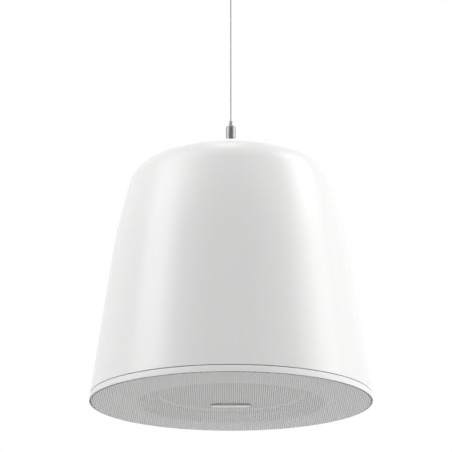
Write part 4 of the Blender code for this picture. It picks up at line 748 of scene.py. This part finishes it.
# Grille
# A crowned sheet of white enamelled steel, punched all over with staggered round holes at a
# pitch of 2.54 mm. Its edge is folded up into the bezel over a thin seal, and four magnets hold
# it. The seal is black so that it stands in for the shade in the gap under the bezel's lip:
# painted shade. A ring of white fleece is glued on its back, round the driver's opening.
GRILLE_RADIUS = 0.1486
GRILLE_PROUD = 0.0008
GRILLE_CROWN = 0.0016
GRILLE_EDGE_HEIGHT = 0.0038
GRILLE_FOLD_RADIUS = 0.0012
GRILLE_SHEET = 0.0002
MAGNET_COUNT = 4
HOLE_PITCH = 0.00254
HOLE_RADIUS = 0.00088
HOLE_SIDES = 8
SECTOR_COUNT = 3
SECTOR_SPARE = 0.01
SHADE_SEAL_THICKNESS = 0.0004
SHADE_SEAL_BOTTOM = -0.00055
SHADE_SEAL_PLAY = 0.0001
FLEECE_STEPS = 8
FLEECE_INNER = 0.0995
FLEECE_OUTER = 0.1468
FLEECE_THICKNESS = 0.0005
FLEECE_GAP = 0.00015
fold_start = GRILLE_RADIUS - GRILLE_FOLD_RADIUS
fold_length = GRILLE_FOLD_RADIUS * math.pi / 2
hem_length = GRILLE_EDGE_HEIGHT + GRILLE_PROUD - GRILLE_FOLD_RADIUS
punched_radius = fold_start + fold_length + hem_length - HOLE_PITCH / math.sqrt(3)
column_step = HOLE_PITCH * math.sqrt(3) / 2


def punched_cell():
    """One six-sided cell of the sheet with its round hole, facing down."""
    bm = bmesh.new()
    corner = HOLE_PITCH / math.sqrt(3)
    edges = []
    for radius, count in ((corner, 6), (HOLE_RADIUS, HOLE_SIDES)):
        ring = []
        for step in range(count):
            angle = 2 * math.pi * step / count
            ring.append(bm.verts.new((radius * math.cos(angle), radius * math.sin(angle), 0.0)))
        for step in range(count):
            edges.append(bm.edges.new((ring[step], ring[(step + 1) % count])))
    bmesh.ops.triangle_fill(bm, edges=edges, use_beauty=True)
    for face in bm.faces:
        if face.normal.z > 0:
            face.normal_flip()
    mesh = bpy.data.meshes.new("punched_cell")
    bm.to_mesh(mesh)
    bm.free()
    return show("punched_cell", mesh)


def punched_sheet():
    """Geometry nodes tree: one sector of a crowned, folded sheet with staggered holes."""
    lengths = ("Pitch", "Column Step", "Punched Radius", "Fold Start", "Fold Radius", "Crown", "Rim Level",
               "First Angle", "Last Angle")
    tree, entry = piece_tree("punched_sheet", [("Cell", "Object"), *[(name, "Float") for name in lengths],
                                               ("Columns", "Int"), ("Rows", "Int")])
    made = tree.nodes
    link = tree.links.new

    def calc(operation, *values):
        return calculate(tree, operation, *values)

    lattice = made.new("GeometryNodeMeshGrid")
    width = calc("MULTIPLY", calc("SUBTRACT", entry["Columns"], 1.0), entry["Column Step"])
    depth = calc("MULTIPLY", calc("SUBTRACT", entry["Rows"], 1.0), entry["Pitch"])
    link(width, lattice.inputs["Size X"])
    link(depth, lattice.inputs["Size Y"])
    link(entry["Columns"], lattice.inputs["Vertices X"])
    link(entry["Rows"], lattice.inputs["Vertices Y"])

    place = made.new("GeometryNodeInputPosition")
    apart = made.new("ShaderNodeSeparateXYZ")
    link(place.outputs[0], apart.inputs[0])
    x = apart.outputs["X"]
    y = apart.outputs["Y"]
    odd = calc("FLOORED_MODULO", calc("ROUND", calc("DIVIDE", x, entry["Column Step"])), 2.0)
    shift = made.new("ShaderNodeCombineXYZ")
    link(calc("MULTIPLY", odd, calc("MULTIPLY", entry["Pitch"], 0.5)), shift.inputs["Y"])
    staggered = made.new("GeometryNodeSetPosition")
    link(lattice.outputs["Mesh"], staggered.inputs["Geometry"])
    link(shift.outputs[0], staggered.inputs["Offset"])

    distance = calc("SQRT", calc("ADD", calc("POWER", x, 2.0), calc("POWER", y, 2.0)))
    angle = calc("ARCTAN2", y, x)
    outside = calc("GREATER_THAN", distance, entry["Punched Radius"])
    before = calc("LESS_THAN", angle, entry["First Angle"])
    after = calc("SUBTRACT", 1.0, calc("LESS_THAN", angle, entry["Last Angle"]))
    trimmed = made.new("GeometryNodeDeleteGeometry")
    trimmed.domain = "POINT"
    link(staggered.outputs["Geometry"], trimmed.inputs["Geometry"])
    link(calc("MAXIMUM", outside, calc("MAXIMUM", before, after)), trimmed.inputs["Selection"])

    source = made.new("GeometryNodeObjectInfo")
    link(entry["Cell"], source.inputs["Object"])
    cells = scattered(tree, trimmed.outputs["Geometry"], source.outputs["Geometry"])
    joined = made.new("GeometryNodeMergeByDistance")
    link(cells, joined.inputs["Geometry"])
    link(calc("MULTIPLY", entry["Pitch"], 0.02), joined.inputs["Distance"])

    flat = calc("MINIMUM", distance, entry["Fold Start"])
    beyond = calc("SUBTRACT", distance, flat)
    turn = calc("MINIMUM", calc("DIVIDE", beyond, entry["Fold Radius"]), math.pi / 2)
    climb = calc("SUBTRACT", beyond, calc("MULTIPLY", turn, entry["Fold Radius"]))
    radius = calc("MULTIPLY_ADD", calc("SINE", turn), entry["Fold Radius"], flat)
    rounded = calc("MULTIPLY", calc("SUBTRACT", 1.0, calc("COSINE", turn)), entry["Fold Radius"])
    share = calc("POWER", calc("DIVIDE", flat, entry["Fold Start"]), 2.0)
    sag = calc("MULTIPLY", entry["Crown"], calc("SUBTRACT", share, 1.0))
    height = calc("ADD", calc("ADD", sag, entry["Rim Level"]), calc("ADD", rounded, climb))
    shrink = calc("DIVIDE", radius, distance)
    formed = made.new("ShaderNodeCombineXYZ")
    link(calc("MULTIPLY", x, shrink), formed.inputs["X"])
    link(calc("MULTIPLY", y, shrink), formed.inputs["Y"])
    link(height, formed.inputs["Z"])
    crowned = made.new("GeometryNodeSetPosition")
    link(joined.outputs["Geometry"], crowned.inputs["Geometry"])
    link(formed.outputs[0], crowned.inputs["Position"])
    leave_tree(tree, crowned.outputs["Geometry"], entry["Material"])
    return tree


white_enamel = surface_finish("white_enamel", (0.80, 0.80, 0.795), 0.42, 0.0, 0.02, 12.0, 3000.0, 0.05,
                              0.00001)
cell = punched_cell()
sheet_tree = punched_sheet()
columns = 2 * int(punched_radius / column_step + 1) + 1
rows = 2 * int(punched_radius / HOLE_PITCH + 1) + 1
for index in range(SECTOR_COUNT):
    first_angle = -math.pi + 2 * math.pi * index / SECTOR_COUNT
    last_angle = first_angle + 2 * math.pi / SECTOR_COUNT
    if index == 0:
        first_angle -= SECTOR_SPARE
    if index == SECTOR_COUNT - 1:
        last_angle += SECTOR_SPARE
    sector = run_tree(f"grille_sector_{index + 1}", sheet_tree, {
        "Cell": cell,
        "Pitch": HOLE_PITCH,
        "Column Step": column_step,
        "Punched Radius": punched_radius,
        "Fold Start": fold_start,
        "Fold Radius": GRILLE_FOLD_RADIUS,
        "Crown": GRILLE_CROWN,
        "Rim Level": level(-GRILLE_PROUD),
        "First Angle": first_angle,
        "Last Angle": last_angle,
        "Columns": columns,
        "Rows": rows,
        "Material": white_enamel,
    })
    wall = sector.modifiers.new("sheet_thickness", "SOLIDIFY")
    wall.thickness = GRILLE_SHEET
    wall.offset = -1.0
    settle(sector).set_sharp_from_angle(angle=math.radians(50))
    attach(sector, "speaker")
    if index == 0:
        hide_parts("grille")
bpy.data.objects.remove(cell, do_unlink=True)

# Black foam for the inner gaskets and the lead. On the grille's seal the same black is painted shade,
# standing in for the shade in the gap under the bezel's lip.
black_foam_and_painted_shade = surface_finish("black_foam_and_painted_shade", (0.018, 0.018, 0.018), 0.85, 0.0, 0.30, 90.0, 1500.0, 0.08,
                             0.00012)
shade_seal_outer = GRILLE_RADIUS - GRILLE_SHEET - SHADE_SEAL_PLAY
shade_seal_inner = shade_seal_outer - SHADE_SEAL_THICKNESS
shade_seal_reach = MOUTH_RADIUS - BEZEL_LIP - SHADE_SEAL_PLAY
shade_seal_top = GRILLE_EDGE_HEIGHT + SHADE_SEAL_THICKNESS - SHADE_SEAL_PLAY
# The grille's seal: a black ring behind the folded edge, painted shade for the gap under the bezel's lip.
painted_shade_seal = turned("grille_foam_seal", [
    (shade_seal_inner, level(SHADE_SEAL_BOTTOM)),
    (shade_seal_outer, level(SHADE_SEAL_BOTTOM)),
    (shade_seal_outer, level(GRILLE_EDGE_HEIGHT + SHADE_SEAL_PLAY)),
    (shade_seal_reach, level(GRILLE_EDGE_HEIGHT + SHADE_SEAL_PLAY)),
    (shade_seal_reach, level(shade_seal_top)),
    (shade_seal_inner, level(shade_seal_top)),
], black_foam_and_painted_shade, HOUSING_SIDES)
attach(painted_shade_seal, "speaker")

fleece_cloth = surface_finish("fleece_cloth", (0.80, 0.80, 0.795), 0.95, 0.0, 0.06, 40.0, 2200.0, 0.20,
                              0.0001)
fleece_front = []
for step in range(FLEECE_STEPS + 1):
    radius = FLEECE_INNER + (FLEECE_OUTER - FLEECE_INNER) * step / FLEECE_STEPS
    drop = GRILLE_PROUD + GRILLE_CROWN * (1.0 - (radius / fold_start) ** 2)
    fleece_front.append((radius, level(GRILLE_SHEET + FLEECE_GAP - drop)))
fleece_back = [(radius, z + FLEECE_THICKNESS) for radius, z in fleece_front]
fleece = turned("grille_fleece", fleece_front + fleece_back[::-1], fleece_cloth, HOUSING_SIDES)
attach(fleece, "speaker")
dress(nickel, *[f"grille_magnet_{index + 1}" for index in range(MAGNET_COUNT)])


# Badge plate
# A small oblong tray of satin nickel-plated metal riveted under the middle of the grille, with a
# bare label of satin silver lacquer laid in its face.
BADGE_LENGTH = 0.042
BADGE_WIDTH = 0.010
BADGE_ROUND_STEPS = 24
BADGE_STEPS = ((0.0, 0.0018), (0.0, 0.0004), (0.00012, 0.00012), (0.00024, 0.0), (0.0003, 0.0),
               (0.0004, 0.0002))
LABEL_STEPS = ((0.00043, 0.00017), (0.00043, 0.00004), (0.00047, 0.0))
badge_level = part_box("badge_plate")[0].z


def oblong_plate(name, steps, material):
    """Plate with round ends, through (inset, lift) outlines over the badge's lowest level."""
    bm = bmesh.new()
    half = (BADGE_LENGTH - BADGE_WIDTH) / 2
    rings = []
    for inset, lift in steps:
        radius = BADGE_WIDTH / 2 - inset
        z = badge_level + lift
        ring = []
        for side in (1, -1):
            for step in range(BADGE_ROUND_STEPS + 1):
                angle = side * math.pi / 2 - math.pi * step / BADGE_ROUND_STEPS
                x = side * half + math.cos(angle) * radius
                ring.append(bm.verts.new((x, math.sin(angle) * radius, z)))
        rings.append(ring)
    return lofted(name, bm, rings, material, 30.0)


satin_nickel = surface_finish("satin_nickel", (0.52, 0.52, 0.515), 0.55, 0.35, 0.04, 60.0, 1500.0, 0.08,
                              0.000006)
badge = oblong_plate("badge_blank", BADGE_STEPS, satin_nickel)
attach(badge, "speaker")
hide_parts("badge_plate")

silver_lacquer = surface_finish("silver_lacquer", (0.87, 0.87, 0.86), 0.38, 0.20, 0.03, 40.0, 1500.0, 0.08,
                                0.000006, (0.06, 4.0, 4.0))
label = oblong_plate("badge_label", LABEL_STEPS, silver_lacquer)
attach(label, "speaker")


# Baffle and its fixings
# A white moulded board with a foam gasket, six long screws into the bell's bosses, and the
# tuned port. They are seen only faintly, through the holes of the grille.
BAFFLE_SCREW_COUNT = 6
black_board = surface_finish("black_board", (0.022, 0.022, 0.023), 0.55, 0.0, 0.25, 30.0, 900.0, 0.10,
                             0.00006)
white_board = surface_finish("white_board", (0.86, 0.86, 0.855), 0.45, 0.0, 0.02, 12.0, 1600.0, 0.05,
                             0.00002)
dress(white_board, "baffle", "port_tube")
dress(black_board, "circuit_tray")
dress(black_foam_and_painted_shade, "baffle_gasket", "woofer_gasket", "input_lead")
dress(zinc_plate, *[f"baffle_screw_{index + 1}" for index in range(BAFFLE_SCREW_COUNT)])


# Driver
# A pressed steel basket, powder-coated grey, with a rubber-edged cone of grey coated paper.
# Pale rings painted near both edges of the rubber roll stand in for the highlights on its flanks: painted
# highlight.
# A small dome tweeter stands in the middle of the cone on the magnet's pole.
CONE_SIDES = 96
CONE_EDGE_RADIUS = 0.0765
CONE_EDGE_HEIGHT = 0.0092
CONE_DEPTH = 0.0350
CONE_NECK_RADIUS = 0.0197
CONE_SHEET = 0.00112
CONE_STEPS = 12
CONE_BEND = 0.2
# Radii, half width and colour of the pale rings painted on the rubber roll: painted highlight on its
# flanks.
PAINTED_HIGHLIGHT_RADII = (0.0755, 0.0880)
PAINTED_HIGHLIGHT_HALF_WIDTH = 0.0012
PAINTED_HIGHLIGHT_COLOUR = (0.88, 0.88, 0.86, 1.0)
DRIVER_SCREW_COUNT = 4
coated_paper = surface_finish("coated_paper", (0.25, 0.25, 0.245), 0.50, 0.0, 0.08, 70.0, 2600.0, 0.10,
                              0.00008)
roll_rubber = surface_finish("roll_rubber", (0.18, 0.18, 0.18), 0.38, 0.0, 0.15, 40.0, 2500.0, 0.06,
                             0.00002)
roll_tree = roll_rubber.node_tree
roll_nodes = roll_tree.nodes
roll_link = roll_tree.links.new
roll_paint = roll_nodes["Principled BSDF"].inputs["Base Color"]
across = roll_nodes.new("ShaderNodeVectorMath")
across.operation = "MULTIPLY"
across.inputs[1].default_value = (1.0, 1.0, 0.0)
reach = roll_nodes.new("ShaderNodeVectorMath")
reach.operation = "LENGTH"
roll_link(roll_nodes.new("ShaderNodeTexCoord").outputs["Object"], across.inputs[0])
roll_link(across.outputs["Vector"], reach.inputs[0])
# Two pale rings are mixed into the rubber's colour; they stand in for the highlights on the roll's flanks:
# painted highlight.
for radius in PAINTED_HIGHLIGHT_RADII:
    coat = roll_nodes.new("ShaderNodeMix")
    coat.data_type = "RGBA"
    coat.inputs["B"].default_value = PAINTED_HIGHLIGHT_COLOUR
    painted_highlight_ring = calculate(roll_tree, "COMPARE", reach.outputs["Value"], radius, PAINTED_HIGHLIGHT_HALF_WIDTH)
    roll_link(painted_highlight_ring, coat.inputs["Factor"])
    roll_link(roll_paint.links[0].from_socket, coat.inputs["A"])
    roll_link(coat.outputs["Result"], roll_paint)
basket_coat = surface_finish("basket_coat", (0.26, 0.26, 0.26), 0.50, 0.0, 0.05, 30.0, 1600.0, 0.08,
                             0.00002)
front = []
for step in range(CONE_STEPS + 1):
    share = step / CONE_STEPS
    rise = CONE_DEPTH * ((1 - CONE_BEND) * share + CONE_BEND * share * share)
    radius = CONE_EDGE_RADIUS + (CONE_NECK_RADIUS - CONE_EDGE_RADIUS) * share
    front.append((radius, level(CONE_EDGE_HEIGHT + rise)))
back = [(radius, z + CONE_SHEET) for radius, z in front]
cone = turned("paper_cone", front + back[::-1], coated_paper, CONE_SIDES)
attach(cone, "cone")
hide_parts("woofer_cone")

ferrite = surface_finish("ferrite", (0.050, 0.050, 0.055), 0.60, 0.0, 0.30, 80.0, 1200.0, 0.10, 0.00008)
spider_cloth = surface_finish("spider_cloth", (0.42, 0.30, 0.12), 0.85, 0.0, 0.25, 120.0, 3500.0, 0.05,
                              0.00015)
winding = surface_finish("winding", (0.62, 0.30, 0.15), 0.35, 1.0, 0.15, 60.0, 2500.0, 0.08, 0.00006,
                         (0.1, 0.1, 4.0))
dome_silk = surface_finish("dome_silk", (0.14, 0.14, 0.15), 0.50, 0.0, 0.15, 90.0, 5000.0, 0.06, 0.00006)
dress(roll_rubber, "surround")
dress(spider_cloth, "spider")
dress(winding, "voice_coil")
dress(ferrite, "ring_magnet")
dress(black_board, "tweeter_cup")
dress(dome_silk, "tweeter_dome")
dress(basket_coat, "woofer_frame")
dress(zinc_plate, "top_plate", "back_plate", "tweeter_post")
dress(zinc_plate, *[f"woofer_screw_{index + 1}" for index in range(DRIVER_SCREW_COUNT)])


# Crossover, transformer and lining
# The board with its coil, capacitor and resistor, the line transformer, and a felt ring on
# the bell's wall. All of them are shut inside.
board_green = surface_finish("board_green", (0.04, 0.16, 0.07), 0.45, 0.0, 0.10, 120.0, 900.0, 0.06)
capacitor_film = surface_finish("capacitor_film", (0.55, 0.38, 0.06), 0.35, 0.0, 0.06, 60.0, 1500.0, 0.05)
resistor_ceramic = surface_finish("resistor_ceramic", (0.75, 0.74, 0.70), 0.60, 0.0, 0.08, 90.0, 1800.0,
                                  0.06)
wool_felt = surface_finish("wool_felt", (0.24, 0.24, 0.24), 0.95, 0.0, 0.40, 60.0, 900.0, 0.04, 0.0006)
dress(board_green, "crossover_board")
dress(capacitor_film, "crossover_capacitor")
dress(resistor_ceramic, "crossover_resistor")
dress(winding, "crossover_inductor", "transformer_bobbin")
dress(zinc_plate, "transformer_core")
dress(wool_felt, "acoustic_lining")


# Floor, lamps and background
# A plain pale floor well below the hanging speaker, tall soft boxes at its sides, weaker ones
# above and behind, a dark curtain behind the camera, and a white surround. Seen from
# underneath, the floor is clear, so that the grille can be looked at from below.
FLOOR_LEVEL = -1.45
FLOOR_HALF = 6.0
CURTAIN_DISTANCE = 3.2
CURTAIN_HALF = 3.4
CURTAIN_FOOT = FLOOR_LEVEL - 0.01
CURTAIN_TOP = 3.0
LAMP_DISTANCE = 1.5
CROWN_LAMP_DISTANCE = 1.6
LAMP_AIM = Vector((0.0, 0.0, -0.33))
SIDE_LIGHT = 0.645


def flat_sheet(name, corners, material):
    """One flat sheet with four corners, for the stage."""
    mesh = bpy.data.meshes.new(name)
    mesh.from_pydata(corners, [], [(0, 1, 2, 3)])
    mesh.materials.append(material)
    return show(name, mesh)


floor_paper = surface_finish("floor_paper", (0.80, 0.80, 0.80), 0.9, 0.0, 0.01, 1.0, 200.0, 0.02, 0.0)
paper_nodes = floor_paper.node_tree.nodes
paper_link = floor_paper.node_tree.links.new
paper_side = paper_nodes.new("ShaderNodeNewGeometry")
paper_clear = paper_nodes.new("ShaderNodeBsdfTransparent")
paper_mix = paper_nodes.new("ShaderNodeMixShader")
paper_link(paper_side.outputs["Backfacing"], paper_mix.inputs["Fac"])
paper_link(paper_nodes["Principled BSDF"].outputs["BSDF"], paper_mix.inputs[1])
paper_link(paper_clear.outputs["BSDF"], paper_mix.inputs[2])
paper_link(paper_mix.outputs["Shader"], paper_nodes["Material Output"].inputs["Surface"])
floor = flat_sheet("floor", [(x * FLOOR_HALF, y * FLOOR_HALF, FLOOR_LEVEL)
                             for x, y in ((-1, -1), (1, -1), (1, 1), (-1, 1))], floor_paper)


def soft_box(name, azimuth, elevation, distance, width, tall, power):
    """Soft lamp that faces the bell. Azimuth 0 is the camera's side, and 90 the right.

    Low boxes within 50 degrees of the camera's side light the bell, but nothing mirrors them.
    """
    lamp = bpy.data.lights.new(name, "AREA")
    lamp.shape = "RECTANGLE"
    lamp.size = width
    lamp.size_y = tall
    lamp.energy = power
    box = show(name, lamp)
    turn = math.radians(azimuth)
    rise = math.radians(elevation)
    towards = Vector((math.sin(turn) * math.cos(rise), -math.cos(turn) * math.cos(rise), math.sin(rise)))
    box.location = LAMP_AIM + towards * distance
    box.rotation_euler = (-towards).to_track_quat("-Z", "Y").to_euler()
    box.visible_glossy = abs(azimuth) > 50.0 or elevation > 20.0


for azimuth, power in ((90.0, 4.9), (75.0, 3.2), (110.0, 1.1), (30.0, 2.9), (0.0, 2.8), (60.0, 0.6),
                       (-45.0, 1.3), (-60.0, 2.9), (-75.0, 1.3)):
    soft_box(f"tall_box_{azimuth:.0f}", azimuth, 8.0, LAMP_DISTANCE, width=0.50, tall=1.4, power=power)
for azimuth, elevation, power in ((90.0, 45.0, 5.3), (-75.0, 30.0, 3.2), (-60.0, 50.0, 2.6),
                                  (-90.0, 45.0, 1.0), (180.0, 40.0, 1.2), (0.0, 75.0, 0.4)):
    soft_box(f"high_box_{azimuth:.0f}_{elevation:.0f}", azimuth, elevation, LAMP_DISTANCE,
             width=0.7, tall=0.7, power=power)
soft_box("crown_box", -110.0, 87.0, CROWN_LAMP_DISTANCE, width=0.4, tall=0.4, power=1.4)

curtain_cloth = surface_finish("curtain_cloth", (0.03, 0.03, 0.03), 0.95, 0.0, 0.2, 2.0, 200.0, 0.02, 0.0,
                               specular=0.0)
for name, first, last in (("dark_curtain", -CURTAIN_HALF, CURTAIN_HALF),
                          ("left_wing", -FLOOR_HALF, -CURTAIN_HALF),
                          ("right_wing", CURTAIN_HALF, FLOOR_HALF)):
    corners = ((first, CURTAIN_FOOT), (last, CURTAIN_FOOT), (last, CURTAIN_TOP), (first, CURTAIN_TOP))
    cloth = flat_sheet(name, [(x, -CURTAIN_DISTANCE, z) for x, z in corners], curtain_cloth)
    cloth.visible_camera = False
    cloth.visible_diffuse = name == "dark_curtain"
    cloth.visible_shadow = name == "dark_curtain"

world = bpy.data.worlds.new("world")
bpy.context.scene.world = world
world.use_nodes = True
world_nodes = world.node_tree.nodes
world_link = world.node_tree.links.new
background = world_nodes["Background"]
background.inputs["Color"].default_value = (1.0, 1.0, 1.0, 1.0)
rays = world_nodes.new("ShaderNodeLightPath").outputs
seen = calculate(world.node_tree, "MAXIMUM", rays["Is Camera Ray"], rays["Is Glossy Ray"])
strength = world_nodes.new("ShaderNodeMapRange")
strength.inputs["To Min"].default_value = SIDE_LIGHT
strength.inputs["To Max"].default_value = 1.0
seen_or_through = calculate(world.node_tree, "MAXIMUM", seen, rays["Is Transmission Ray"])
world_link(seen_or_through, strength.inputs["Value"])
world_link(strength.outputs["Result"], background.inputs["Strength"])

bpy.context.scene.view_settings.view_transform = "Standard"
